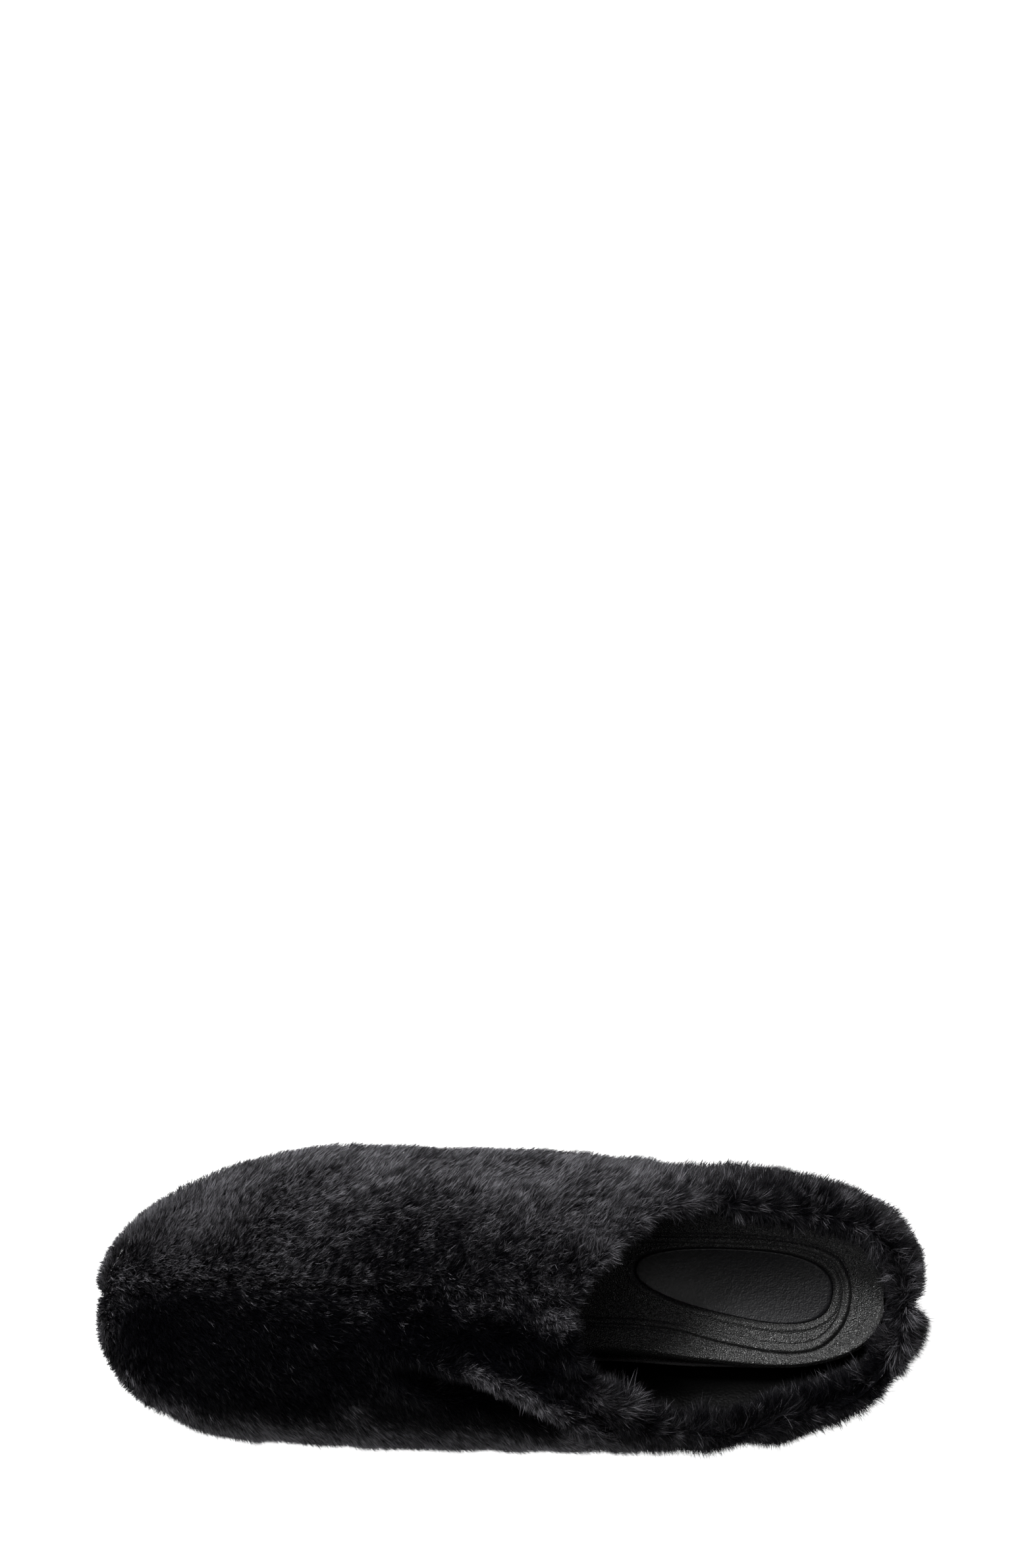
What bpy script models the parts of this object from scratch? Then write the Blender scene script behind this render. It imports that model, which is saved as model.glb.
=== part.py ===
"""Right-foot fur clog: a hollow fur upper, a moulded footbed with a heel pad, and a rubber outsole.

Metres, +Z up, +X towards the toe, +Y towards the medial (inner) side of the foot.
Stations are measured along the shoe from the back of the fur at the heel.
"""

from collections import namedtuple

import bmesh
import bpy
import numpy as np

MM = 0.001
GAP = 0.3 * MM

# Driving dimensions: where each outline starts at the heel and ends at the toe
FUR_BACK, FUR_FRONT = 0.8 * MM, 268.0 * MM
SOLE_BACK, SOLE_FRONT = 10.5 * MM, 260.0 * MM
CREST_BACK, CREST_FRONT = 3.5 * MM, 119.0 * MM

# Outsole heights and the lines along its length where its bottom changes
HEEL_TOP, BALL_TOP = 20.5 * MM, 16.0 * MM
HEEL_LINE, BALL_LINE = 70 * MM, 180 * MM
HEEL_EDGE, ARCH_START, ARCH_END, SPRING_START = 22 * MM, 82 * MM, 150 * MM, 206 * MM
HEEL_LIFT, ARCH_RELIEF, TOE_SPRING = 2.0 * MM, 3.0 * MM, 9.0 * MM
SOLE_EDGE_RADIUS = 3.0 * MM

# Footbed: thickness at its middle, raised heel cup and medial arch
LINING_INSET, FOOTBED_INSET = 3.0 * MM, 3.7 * MM
FOOTBED_THICKNESS = 5.0 * MM
HEEL_CUP, FOREFOOT_CUP, ARCH_RISE = 4.5 * MM, 1.5 * MM, 5.0 * MM
LIP_DROP = 0.8 * MM

# Heel pad: egg-shaped inlay, wide end at the heel, turned with the heel's axis
PAD_CENTRE = (63.0 * MM, -5.6 * MM)
PAD_HALF_LENGTH, PAD_HALF_WIDTH, PAD_TAPER = 32.0 * MM, 11.2 * MM, 0.34
PAD_TURN = np.radians(-7.5)
PAD_THICKNESS, PAD_SUNK = 1.4 * MM, 0.4 * MM

# Upper: pile and backing together make the wall
HEEL_WALL, VAMP_WALL = 10.5 * MM, 8.6 * MM
WALL_CHANGE_START, WALL_CHANGE_END = 60 * MM, 130 * MM
BULGE_RISE = 13.0 * MM
THROAT_HEIGHT, TOE_LINE_HEIGHT, INSTEP_POWER = 83.5 * MM, 61.0 * MM, 1.25
NOSE_START, NOSE_POWER = 190 * MM, 2.6
SECTION_POWER = 2.1
WALL_ZONE_END, SECTION_ZONE_START = 72 * MM, 118 * MM

# Mesh density
AROUND = 84
ROWS_BELOW_BULGE, ROWS_PER_RING, ROLL_ROWS, LINING_STEP = 4, 3, 5, 2
SOLE_SECTIONS, SOLE_BOTTOM_POINTS = 44, 6
FOOTBED_SECTIONS, FOOTBED_POINTS = 44, 15
END_ANGLE = np.radians(4)
PAD_POINTS = 48

# Outlines round the shoe, in millimetres to each side of its axis. The angle runs from the heel, 0,
# to the toe, 180, and a station is back + length * (1 - cos angle) / 2.
Outline = namedtuple(
    "Outline", "angle sole_lateral sole_medial fur_lateral fur_medial crest_lateral crest_medial"
)
OUTLINES = (
    Outline(0, -1.0, -1.0, 0.0, 0.0, -1.0, -1.0),
    Outline(20, -20.5, 16.5, -23.5, 20.5, -15.0, 12.5),
    Outline(40, -31.5, 25.0, -38.8, 38.5, -25.5, 25.5),
    Outline(60, -35.5, 25.5, -44.0, 46.0, -31.8, 34.5),
    Outline(80, -38.0, 24.5, -46.0, 47.5, -36.0, 41.5),
    Outline(100, -41.0, 33.0, -48.8, 47.0, -38.0, 45.0),
    Outline(120, -42.5, 37.5, -49.4, 46.2, -34.5, 40.5),
    Outline(140, -34.5, 35.5, -39.0, 42.5, -23.0, 28.0),
    Outline(160, -16.5, 22.0, -20.5, 28.5, -11.0, 13.0),
    Outline(180, 0.5, 0.5, 0.5, 0.5, -2.0, -2.0),
)

# Rings of the upper from its widest outline up to the crest of the opening: the stations where each
# crosses the heel and the vamp's ridge (mm), then shares: of the way in from the fur's outline to the
# crest's at the collar, of the collar's height, of the vamp's width, and of the crest's own outline.
Ring = namedtuple("Ring", "heel ridge inward height width crest")
RINGS = (
    Ring(0.8, 268.0, 0.00, 0.00, 1.000, 0.00),
    Ring(0.9, 265.0, 0.03, 0.15, 0.985, 0.00),
    Ring(1.2, 256.0, 0.10, 0.30, 0.955, 0.00),
    Ring(1.5, 239.0, 0.21, 0.45, 0.900, 0.00),
    Ring(2.0, 212.5, 0.36, 0.60, 0.820, 0.05),
    Ring(2.5, 180.0, 0.55, 0.74, 0.720, 0.20),
    Ring(3.0, 149.0, 0.77, 0.87, 0.600, 0.50),
    Ring(3.5, 119.0, 1.00, 1.00, 0.450, 1.00),
)

# Height of the collar's crest along the shoe, at even steps from the heel (mm)
Collar = namedtuple("Collar", "station height")
COLLAR = (
    Collar(0, 43.5),
    Collar(30, 44.5),
    Collar(60, 50.0),
    Collar(90, 63.0),
    Collar(120, 83.5),
    Collar(150, 105.0),
)


def smooth_step(value, start, end):
    """0 before start, 1 after end, and a smooth rise between."""
    share = np.clip((value - start) / (end - start), 0, 1)
    return share * share * (3 - 2 * share)


def through(values, place, closed):
    """Smooth curve through evenly spaced values (rows of an array), read at fractional places."""
    values = np.asarray(values, float)
    last = len(values) - 1
    start = np.floor(place).astype(int)
    if not closed:
        start = np.clip(start, 0, last - 1)
    share = place - start

    def row(offset):
        index = start + offset
        return values[index % len(values)] if closed else values[np.clip(index, 0, last)]

    before, here, after, beyond = row(-1), row(0), row(1), row(2)
    share = share.reshape(share.shape + (1,) * (values.ndim - 1))
    slope_in, slope_out = (after - before) / 2, (beyond - here) / 2
    rise = after - here
    return here + share * (
        slope_in
        + share * (3 * rise - 2 * slope_in - slope_out + share * (slope_in + slope_out - 2 * rise))
    )


def outline_y(shape, angle):
    """Sideways place of a named outline: lateral side out to the toe, medial side back to the heel."""
    lateral = [getattr(row, shape + "_lateral") for row in OUTLINES]
    medial = [getattr(row, shape + "_medial") for row in OUTLINES[-2:0:-1]]
    step = np.radians(OUTLINES[1].angle)
    return through(np.array(lateral + medial) * MM, angle / step, closed=True)


def along(back, front, angle):
    """Station at an angle round an outline that runs from back to front."""
    return back + (front - back) * (1 - np.cos(angle)) / 2


def angle_at(share):
    """Angle round an outline at a share of its length."""
    return np.arccos(1 - 2 * np.clip(share, 0, 1))


def grown(ring, distance):
    """A closed plan outline moved outwards along its normals."""
    tangent = np.roll(ring, -1, axis=0) - np.roll(ring, 1, axis=0)
    normal = np.stack([-tangent[:, 1], tangent[:, 0]], axis=1)
    normal /= np.linalg.norm(normal, axis=1, keepdims=True)
    return ring - normal * distance if turns_left(ring) else ring + normal * distance


def turns_left(ring):
    """True if a closed plan outline runs anticlockwise seen from above."""
    ahead = np.roll(ring, -1, axis=0)
    return np.sum(ring[:, 0] * ahead[:, 1] - ring[:, 1] * ahead[:, 0]) > 0


def sole_outline(angle):
    """Plan points of the outsole's edge."""
    return np.stack([along(SOLE_BACK, SOLE_FRONT, angle), outline_y("sole", angle)], axis=1)


def toe_spring(station):
    """Rise of the sole towards the toe."""
    ahead = np.clip((station - SPRING_START) / (SOLE_FRONT - SPRING_START), 0, None)
    return TOE_SPRING * ahead * ahead


def sole_top(station):
    """Height of the outsole's top face, from the heel down to the ball and up the toe spring."""
    drop = (HEEL_TOP - BALL_TOP) * smooth_step(station, HEEL_LINE, BALL_LINE)
    return HEEL_TOP - drop + toe_spring(station)


def sole_bottom(station):
    """Height of the tread: flat at heel and forefoot, relieved under the arch, lifted at both ends."""
    arch = np.clip((station - ARCH_START) / (ARCH_END - ARCH_START), 0, 1)
    heel = np.clip((HEEL_EDGE - station) / (HEEL_EDGE - SOLE_BACK), 0, 1)
    return ARCH_RELIEF * np.sin(np.pi * arch) ** 2 + HEEL_LIFT * heel * heel + toe_spring(station)


def new_object(name, bm, collection, parent):
    """Turns a bmesh into a named object with its faces pointing out."""
    bmesh.ops.recalc_face_normals(bm, faces=bm.faces)
    mesh = bpy.data.meshes.new(name)
    bm.to_mesh(mesh)
    bm.free()
    mesh.shade_smooth()
    mesh.set_sharp_from_angle(angle=np.radians(40))
    part = bpy.data.objects.new(name, mesh)
    part.parent = parent
    collection.objects.link(part)
    return part


def loft(rings, closed):
    """Faces through a stack of rings. A closed stack joins its last ring to its first, an open one is capped."""
    bm = bmesh.new()
    stack = [[bm.verts.new(point) for point in ring] for ring in rings]
    pairs = list(zip(stack, stack[1:]))
    if closed:
        pairs.append((stack[-1], stack[0]))
    else:
        bm.faces.new(stack[0])
        bm.faces.new(stack[-1][::-1])
    for low, high in pairs:
        for here in range(len(low)):
            ahead = (here + 1) % len(low)
            bm.faces.new((low[here], low[ahead], high[ahead], high[here]))
    return bm


def coat(part, name, colour, roughness):
    """Gives a part its own plain material."""
    material = bpy.data.materials.new(name)
    material.use_nodes = True
    shader = material.node_tree.nodes["Principled BSDF"]
    shader.inputs["Base Color"].default_value = (*colour, 1)
    shader.inputs["Roughness"].default_value = roughness
    shader.inputs["Metallic"].default_value = 0
    part.data.materials.append(material)


def paired_edges(ring):
    """Lateral and medial points of a closed outline that face each other, heel to toe."""
    half = len(ring) // 2
    lateral = ring[1:half]
    medial = ring[:half:-1]
    return lateral, medial


def section_outline(grow_by, sections):
    """Facing edge points of the sole's outline, moved outwards by a distance, for a number of sections."""
    front = np.linspace(END_ANGLE, np.pi - END_ANGLE, sections)
    angles = np.concatenate([[0], front, [np.pi], 2 * np.pi - front[::-1]])
    return paired_edges(grown(sole_outline(angles), grow_by))


def make_outsole(collection, parent):
    """Outsole: sections across the shoe with a rounded tread edge."""
    lateral, medial = section_outline(0, SOLE_SECTIONS)
    width = np.linalg.norm(medial - lateral, axis=1)
    radius = np.minimum(SOLE_EDGE_RADIUS, width / 4)
    side = (medial - lateral) / width[:, None]
    bottom = sole_bottom((lateral[:, 0] + medial[:, 0]) / 2)
    top = sole_top((lateral[:, 0] + medial[:, 0]) / 2)

    def column(start, inward, height):
        return np.column_stack([start + side * inward[:, None], height])

    softened = 1 - np.sqrt(0.5)
    none = np.zeros_like(radius)
    columns = [
        column(lateral, none, top),
        column(lateral, none, bottom + radius),
        column(lateral, softened * radius, bottom + softened * radius),
    ]
    for share in np.linspace(0, 1, SOLE_BOTTOM_POINTS):
        columns.append(column(lateral, radius + share * (width - 2 * radius), bottom))
    columns += [
        column(medial, -softened * radius, bottom + softened * radius),
        column(medial, none, bottom + radius),
        column(medial, none, top),
    ]
    outsole = new_object("outsole", loft(np.stack(columns, axis=1), closed=False), collection, parent)
    coat(outsole, "black rubber", (0.016, 0.016, 0.017), 0.65)
    return outsole


def footbed_height(station, across):
    """Top of the footbed; across runs from -1 at the lateral edge to 1 at the medial edge."""
    cup = FOREFOOT_CUP + (HEEL_CUP - FOREFOOT_CUP) * (1 - smooth_step(station, HEEL_LINE, BALL_LINE))
    middle = (ARCH_START + ARCH_END) / 2
    arch = ARCH_RISE * np.exp(-(((station - middle) / (ARCH_END - ARCH_START)) ** 2))
    edge = cup * np.abs(across) ** 3 + arch * np.clip(across, 0, 1) ** 2
    return sole_top(station) + GAP + FOOTBED_THICKNESS + edge


def make_footbed(collection, cutters, parent):
    """Footbed: sections across the shoe, with the heel pad's recess cut into its top."""
    lateral, medial = section_outline(-FOOTBED_INSET, FOOTBED_SECTIONS)
    columns = []
    for edge in (medial, lateral):
        columns.append(np.column_stack([edge, sole_top(edge[:, 0]) + GAP]))
    for across in np.linspace(-1, 1, FOOTBED_POINTS):
        share = (1 + across) / 2
        place = lateral + (medial - lateral) * share
        lip = LIP_DROP if abs(across) == 1 else 0
        columns.append(np.column_stack([place, footbed_height(place[:, 0], across) - lip]))
    footbed = new_object("footbed", loft(np.stack(columns, axis=1), closed=False), collection, parent)
    coat(footbed, "grained black footbed", (0.014, 0.014, 0.015), 0.5)
    recess = make_plate("pad_recess", GAP, -(PAD_THICKNESS + PAD_SUNK + GAP), HEEL_CUP, cutters, parent)
    recess.hide_render = True
    recess.display_type = "WIRE"
    cut = footbed.modifiers.new("heel pad recess", "BOOLEAN")
    cut.operation = "DIFFERENCE"
    cut.object = recess
    return footbed


def make_plate(name, grow_by, low, high, collection, parent):
    """Egg-shaped plate between two heights over the middle of the footbed."""
    angle = np.linspace(0, 2 * np.pi, PAD_POINTS, endpoint=False)
    length = -PAD_HALF_LENGTH * np.cos(angle)
    width = PAD_HALF_WIDTH * np.sin(angle) * (1 + PAD_TAPER * np.cos(angle))
    plan = np.column_stack(
        [
            PAD_CENTRE[0] + length * np.cos(PAD_TURN) - width * np.sin(PAD_TURN),
            PAD_CENTRE[1] + length * np.sin(PAD_TURN) + width * np.cos(PAD_TURN),
        ]
    )
    plan = grown(plan, grow_by)
    base = footbed_height(plan[:, 0], 0)
    rings = np.stack([np.column_stack([plan, base + low]), np.column_stack([plan, base + high])])
    return new_object(name, loft(rings, closed=False), collection, parent)


def make_heel_pad(collection, parent):
    """Heel pad: smooth inlay lying in the footbed's recess."""
    pad = make_plate("heel_pad", 0, -(PAD_THICKNESS + PAD_SUNK), -PAD_SUNK, collection, parent)
    coat(pad, "smooth heel pad", (0.02, 0.02, 0.024), 0.4)
    return pad


def ridge_height(station):
    """Side profile of the vamp: down from the throat along the instep, then round the toe's nose."""
    ahead = np.clip((FUR_FRONT - station) / (FUR_FRONT - CREST_FRONT), 0, None)
    line = TOE_LINE_HEIGHT + (THROAT_HEIGHT - TOE_LINE_HEIGHT) * ahead**INSTEP_POWER
    nose = np.clip((station - NOSE_START) / (FUR_FRONT - NOSE_START), 0, 1)
    base = bulge_height(station)
    return base + (line - base) * np.clip(1 - nose**NOSE_POWER, 0, 1) ** (1 / 2)


def bulge_height(station):
    """Height of the fur's widest outline."""
    return sole_top(station) + BULGE_RISE


def collar_height(station):
    """Height of the collar's crest, read from its table."""
    heights = np.array([row.height for row in COLLAR]) * MM
    return through(heights, station / (COLLAR[1].station * MM), closed=False)


def vamp_height(station, side):
    """Height of the vamp at a plan point: a rounded section from the ridge down to the fur's widest line."""
    angle = angle_at((station - FUR_BACK) / (FUR_FRONT - FUR_BACK))
    lateral = outline_y("fur", angle)
    medial = outline_y("fur", 2 * np.pi - angle)
    half = np.maximum((medial - lateral) / 2, MM)
    off = np.clip(np.abs(side - (lateral + medial) / 2) / half, 0, 1)
    base = bulge_height(station)
    return base + (ridge_height(station) - base) * (1 - off**SECTION_POWER) ** (1 / 2)


def wall_thickness(station):
    """Backing and pile together: deep round the heel and collar, flatter on the vamp."""
    thin = smooth_step(station, WALL_CHANGE_START, WALL_CHANGE_END)
    return HEEL_WALL + (VAMP_WALL - HEEL_WALL) * thin


def reach(back, front, angle):
    """Station on a ring: it keeps level with the crest near the heel and stretches out towards its front."""
    share = (1 - np.cos(angle)) / 2
    opening = CREST_FRONT - CREST_BACK
    return back + opening * share + (front - back - opening) * share * share


def both_sides(shape, share, angle):
    """A named outline at a share of its length, on the side of the shoe where the angle lies."""
    here = angle_at(share)
    return outline_y(shape, np.where(angle <= np.pi, here, 2 * np.pi - here))


def feather_line(angle):
    """Plan points of the outsole's edge, spaced to match the rings above it."""
    station = reach(SOLE_BACK, SOLE_FRONT, angle)
    share = (station - SOLE_BACK) / (SOLE_FRONT - SOLE_BACK)
    return np.stack([station, both_sides("sole", share, angle)], axis=1)


def upper_rings(angle):
    """Outer surface of the upper, row by row from the feather edge to the crest of the opening."""
    rows = np.linspace(0, len(RINGS) - 1, (len(RINGS) - 1) * ROWS_PER_RING + 1)
    table = through(np.array(RINGS), rows, closed=False).T[:, :, None]
    heel, ridge, inward, height, width, joined = table
    station = reach(heel * MM, ridge * MM, angle)
    fur = both_sides("fur", (station - heel * MM) / (ridge * MM - heel * MM), angle)
    crest = outline_y("crest", angle)
    vamp_side = fur * width * (1 - joined) + crest * joined
    wall_side = fur + (crest - fur) * inward
    on_vamp = smooth_step(station, WALL_ZONE_END, SECTION_ZONE_START)
    side = wall_side + (vamp_side - wall_side) * on_vamp
    base = bulge_height(station)
    wall = base + (collar_height(station) - base) * height
    rise = wall + (vamp_height(station, side) - wall) * on_vamp
    above = np.stack([station, side, rise], axis=2)
    edge = feather_line(angle)
    feather = grown(edge, wall_thickness(edge[:, :1]) - LINING_INSET)
    lowest = np.column_stack([feather, sole_top(feather[:, 0]) + GAP])
    share = np.linspace(0, 1, ROWS_BELOW_BULGE, endpoint=False)[:, None, None]
    out = np.sin(share * np.pi / 2)
    below = lowest + (above[0] - lowest) * np.concatenate([out, out, share], axis=2)
    return np.concatenate([below, above])


def surface_frame(rows):
    """Unit normals of a grid of rings, and the directions that climb square to each ring."""
    slanted = np.gradient(rows, axis=0)
    round_about = np.roll(rows, -1, axis=1) - np.roll(rows, 1, axis=1)
    round_about /= np.linalg.norm(round_about, axis=2, keepdims=True)
    normal = np.cross(round_about, slanted)
    normal /= np.linalg.norm(normal, axis=2, keepdims=True)
    return normal, np.cross(normal, round_about)


def make_upper(collection, parent):
    """Upper: outer rows, a rounded roll at the opening and the lining, as one closed wall."""
    angle = np.linspace(0, 2 * np.pi, AROUND, endpoint=False)
    outer = upper_rings(angle)
    normal, up = surface_frame(outer)
    wall = wall_thickness(outer[..., :1])
    lining = outer - normal * wall
    sole_edge = grown(feather_line(angle), -LINING_INSET)
    lining[0] = np.column_stack([sole_edge, sole_top(sole_edge[:, 0]) + GAP])
    radius = wall[-1] / 2
    middle = outer[-1] - normal[-1] * radius
    turn = np.linspace(0, np.pi, ROLL_ROWS + 2)[1:-1, None, None]
    roll = middle + radius * (normal[-1] * np.cos(turn) + up[-1] * np.sin(turn))
    rings = np.concatenate([outer, roll, lining[::-LINING_STEP], lining[:1]])
    upper = new_object("upper", loft(rings, closed=True), collection, parent)
    coat(upper, "black fur", (0.012, 0.012, 0.013), 0.8)
    return upper


def clear_scene():
    """Removes whatever objects the scene holds."""
    for old in list(bpy.data.objects):
        bpy.data.objects.remove(old, do_unlink=True)


def new_collection(name):
    """A named collection in the scene."""
    collection = bpy.data.collections.new(name)
    bpy.context.scene.collection.children.link(collection)
    return collection


def stand_on_origin(root, parts):
    """Puts the middle of the parts' footprint over the origin, with the tread on the ground."""
    points = np.array([vertex.co for part in parts for vertex in part.data.vertices])
    low, high = points.min(axis=0), points.max(axis=0)
    root.location = (-(low[0] + high[0]) / 2, -(low[1] + high[1]) / 2, -low[2])


def main():
    clear_scene()
    clog = new_collection("fur_clog")
    cutters = new_collection("cutters")
    root = bpy.data.objects.new("clog_frame", None)
    clog.objects.link(root)
    parts = [
        make_outsole(clog, root),
        make_footbed(clog, cutters, root),
        make_heel_pad(clog, root),
        make_upper(clog, root),
    ]
    stand_on_origin(root, parts)


main()
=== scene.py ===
"""Looks of the right-foot fur clog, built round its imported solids.

Metres in the part's own frame: +X towards the toe, +Y towards the medial side of the foot, +Z up.
Stations run along the shoe from the back of the fur at the heel. The outlines, rings and heights are
those of the part's solids. The fur's trims and drawn-in crest, the wall's thinner corners, the waist
of the footbed and the pad's blunter, dished shape belong to the looks alone.
"""

from collections import namedtuple

import bmesh
import bpy
import numpy as np
from mathutils import Matrix


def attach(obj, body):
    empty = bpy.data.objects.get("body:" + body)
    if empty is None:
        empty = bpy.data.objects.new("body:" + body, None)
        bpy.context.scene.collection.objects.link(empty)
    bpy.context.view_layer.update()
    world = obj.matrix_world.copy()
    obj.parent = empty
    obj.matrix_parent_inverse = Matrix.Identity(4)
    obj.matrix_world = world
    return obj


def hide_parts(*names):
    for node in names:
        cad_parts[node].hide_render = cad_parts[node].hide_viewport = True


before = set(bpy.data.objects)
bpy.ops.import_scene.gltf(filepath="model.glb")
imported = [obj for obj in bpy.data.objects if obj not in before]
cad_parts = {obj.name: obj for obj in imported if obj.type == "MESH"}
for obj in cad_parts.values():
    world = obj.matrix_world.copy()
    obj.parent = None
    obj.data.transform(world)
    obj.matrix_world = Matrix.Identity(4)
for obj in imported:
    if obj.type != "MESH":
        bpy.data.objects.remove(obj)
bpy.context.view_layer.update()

MM = 0.001
GAP = 0.3 * MM

# Sizes of the part's solids
FUR_BACK, FUR_FRONT = 0.8 * MM, 268.0 * MM
SOLE_BACK, SOLE_FRONT = 10.5 * MM, 260.0 * MM
CREST_BACK, CREST_FRONT = 3.5 * MM, 119.0 * MM
HEEL_TOP, BALL_TOP = 20.5 * MM, 16.0 * MM
HEEL_LINE, BALL_LINE = 70 * MM, 180 * MM
HEEL_EDGE, ARCH_START, ARCH_END, SPRING_START = 22 * MM, 82 * MM, 150 * MM, 206 * MM
HEEL_LIFT, ARCH_RELIEF, TOE_SPRING = 2.0 * MM, 3.0 * MM, 9.0 * MM
SOLE_EDGE_RADIUS = 3.0 * MM
LINING_INSET, FOOTBED_INSET = 3.0 * MM, 3.7 * MM
FOOTBED_THICKNESS = 5.0 * MM
HEEL_CUP, FOREFOOT_CUP, ARCH_RISE = 4.5 * MM, 1.5 * MM, 5.0 * MM
PAD_CENTRE, PAD_TURN = (63.0 * MM, -5.6 * MM), np.radians(-7.5)
PAD_THICKNESS, PAD_SUNK = 1.4 * MM, 0.4 * MM
HEEL_WALL, VAMP_WALL = 10.5 * MM, 8.6 * MM
WALL_CHANGE_START, WALL_CHANGE_END = 60 * MM, 130 * MM
BULGE_RISE = 13.0 * MM
THROAT_HEIGHT, TOE_LINE_HEIGHT, INSTEP_POWER = 83.5 * MM, 61.0 * MM, 1.25
NOSE_START, NOSE_POWER = 190 * MM, 2.6
SECTION_POWER = 2.1
WALL_ZONE_END, SECTION_ZONE_START = 72 * MM, 118 * MM
SOLID_AROUND, SOLID_ROWS_PER_RING, SOLID_ROWS_BELOW = 84, 3, 4

# Outlines round the shoe, in millimetres to each side of its axis; the angle runs from heel to toe
Outline = namedtuple(
    "Outline", "angle sole_lateral sole_medial fur_lateral fur_medial crest_lateral crest_medial"
)
OUTLINES = (
    Outline(0, -1.0, -1.0, 0.0, 0.0, -1.0, -1.0),
    Outline(20, -20.5, 16.5, -23.5, 20.5, -15.0, 12.5),
    Outline(40, -31.5, 25.0, -38.8, 38.5, -25.5, 25.5),
    Outline(60, -35.5, 25.5, -44.0, 46.0, -31.8, 34.5),
    Outline(80, -38.0, 24.5, -46.0, 47.5, -36.0, 41.5),
    Outline(100, -41.0, 33.0, -48.8, 47.0, -38.0, 45.0),
    Outline(120, -42.5, 37.5, -49.4, 46.2, -34.5, 40.5),
    Outline(140, -34.5, 35.5, -39.0, 42.5, -23.0, 28.0),
    Outline(160, -16.5, 22.0, -20.5, 28.5, -11.0, 13.0),
    Outline(180, 0.5, 0.5, 0.5, 0.5, -2.0, -2.0),
)

# Rings of the upper: stations at the heel and the vamp's ridge (mm), then shares of the way
Ring = namedtuple("Ring", "heel ridge inward height width crest")
RINGS = (
    Ring(0.8, 268.0, 0.00, 0.00, 1.000, 0.00),
    Ring(0.9, 265.0, 0.03, 0.15, 0.985, 0.00),
    Ring(1.2, 256.0, 0.10, 0.30, 0.955, 0.00),
    Ring(1.5, 239.0, 0.21, 0.45, 0.900, 0.00),
    Ring(2.0, 212.5, 0.36, 0.60, 0.820, 0.05),
    Ring(2.5, 180.0, 0.55, 0.74, 0.720, 0.20),
    Ring(3.0, 149.0, 0.77, 0.87, 0.600, 0.50),
    Ring(3.5, 119.0, 1.00, 1.00, 0.450, 1.00),
)

# Height of the collar's crest along the shoe, at even steps from the heel (mm)
Collar = namedtuple("Collar", "station height")
COLLAR = (
    Collar(0, 43.5),
    Collar(30, 44.5),
    Collar(60, 50.0),
    Collar(90, 63.0),
    Collar(120, 83.5),
    Collar(150, 105.0),
)

# Centre seam of the fur and the fold across the medial side, at even steps along the shoe (mm)
Line = namedtuple("Line", "station side")
CENTRE_SEAM = (Line(110, -5.5), Line(150, -7.0), Line(190, -7.8), Line(230, -9.0), Line(270, -1.0))
MEDIAL_FOLD = (Line(100, 48.5), Line(120, 35.8), Line(140, 26.0), Line(160, 20.6), Line(180, 16.0))
SEAM_DEPTH, SEAM_WIDTH, SEAM_ZONE = 3.4 * MM, 1.9 * MM, (108 * MM, 118 * MM)
BACK_SEAM_SIDE, BACK_SEAM_END = -0.5 * MM, 22 * MM
BACK_SEAM_DEPTH, BACK_SEAM_WIDTH = 6.5 * MM, 2.6 * MM
FOLD_RIDGE, FOLD_TROUGH = 5.0 * MM, 6.0 * MM
FOLD_RIDGE_PLACE, FOLD_TROUGH_PLACE, FOLD_WIDTH = -7.0 * MM, 0.5 * MM, 4.2 * MM
FOLD_IN, FOLD_OUT, FOLD_RISE = (94 * MM, 110 * MM), (156 * MM, 182 * MM), (3 * MM, 16 * MM)
# The fold's lit edge is a painted highlight: a band of paler fur tone along it
FOLD_LIT_PLACE, FOLD_LIT_WIDTH, FOLD_HIGHLIGHT_TONE = -6.2 * MM, 2.4 * MM, 0.55
FOLD_LIT_IN, FOLD_LIT_OUT = (96 * MM, 108 * MM), (140 * MM, 162 * MM)

# Fur: how far its tips stand out of the solid, a hair's length, its angle to the skin and its stray
Pile = namedtuple("Pile", "stand length lift stray")
VAMP_PILE = Pile(0.6 * MM, 4.9 * MM, np.radians(50), 0.18)
TOE_PILE = Pile(1.0 * MM, 5.6 * MM, np.radians(55), 0.22)
HEEL_PILE = Pile(1.5 * MM, 8.0 * MM, np.radians(62), 0.40)
RIM_PILE = Pile(1.2 * MM, 7.5 * MM, np.radians(62), 0.55)
INNER_LIFT = np.radians(58)
TIP_SHARE, FEATHER_DEPTH, FEATHER_ROWS = 0.9, 0.5, (0, 7)
VAMP_PILE_ZONE, TOE_ZONE = (70 * MM, 125 * MM), (205 * MM, 255 * MM)
THROAT_SHORTER, SHORTER_ZONE = 0.22, (70 * MM, 100 * MM)
COLLAR_FRINGE, MEDIAL_FRINGE, THROAT_FRINGE = 0.8 * MM, 4.0 * MM, 2.4 * MM
MEDIAL_FRINGE_ZONE, THROAT_FRINGE_ZONE = (0, 25 * MM), (75 * MM, 105 * MM)

# Grid of the fur, and zones counted in its rows from the crest of the opening
FUR_AROUND, FUR_ROWS_PER_RING, FUR_ROWS_BELOW, RIM_ROWS = 540, 8, 8, 26
SKIN_STEP = 2
CORNER_ROWS, DRAWN_ROWS, TRIM_ROWS, RIM_PILE_ROWS = (-30, -1), (-26, -6), (-18, 6), (-30, 4)

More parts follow.
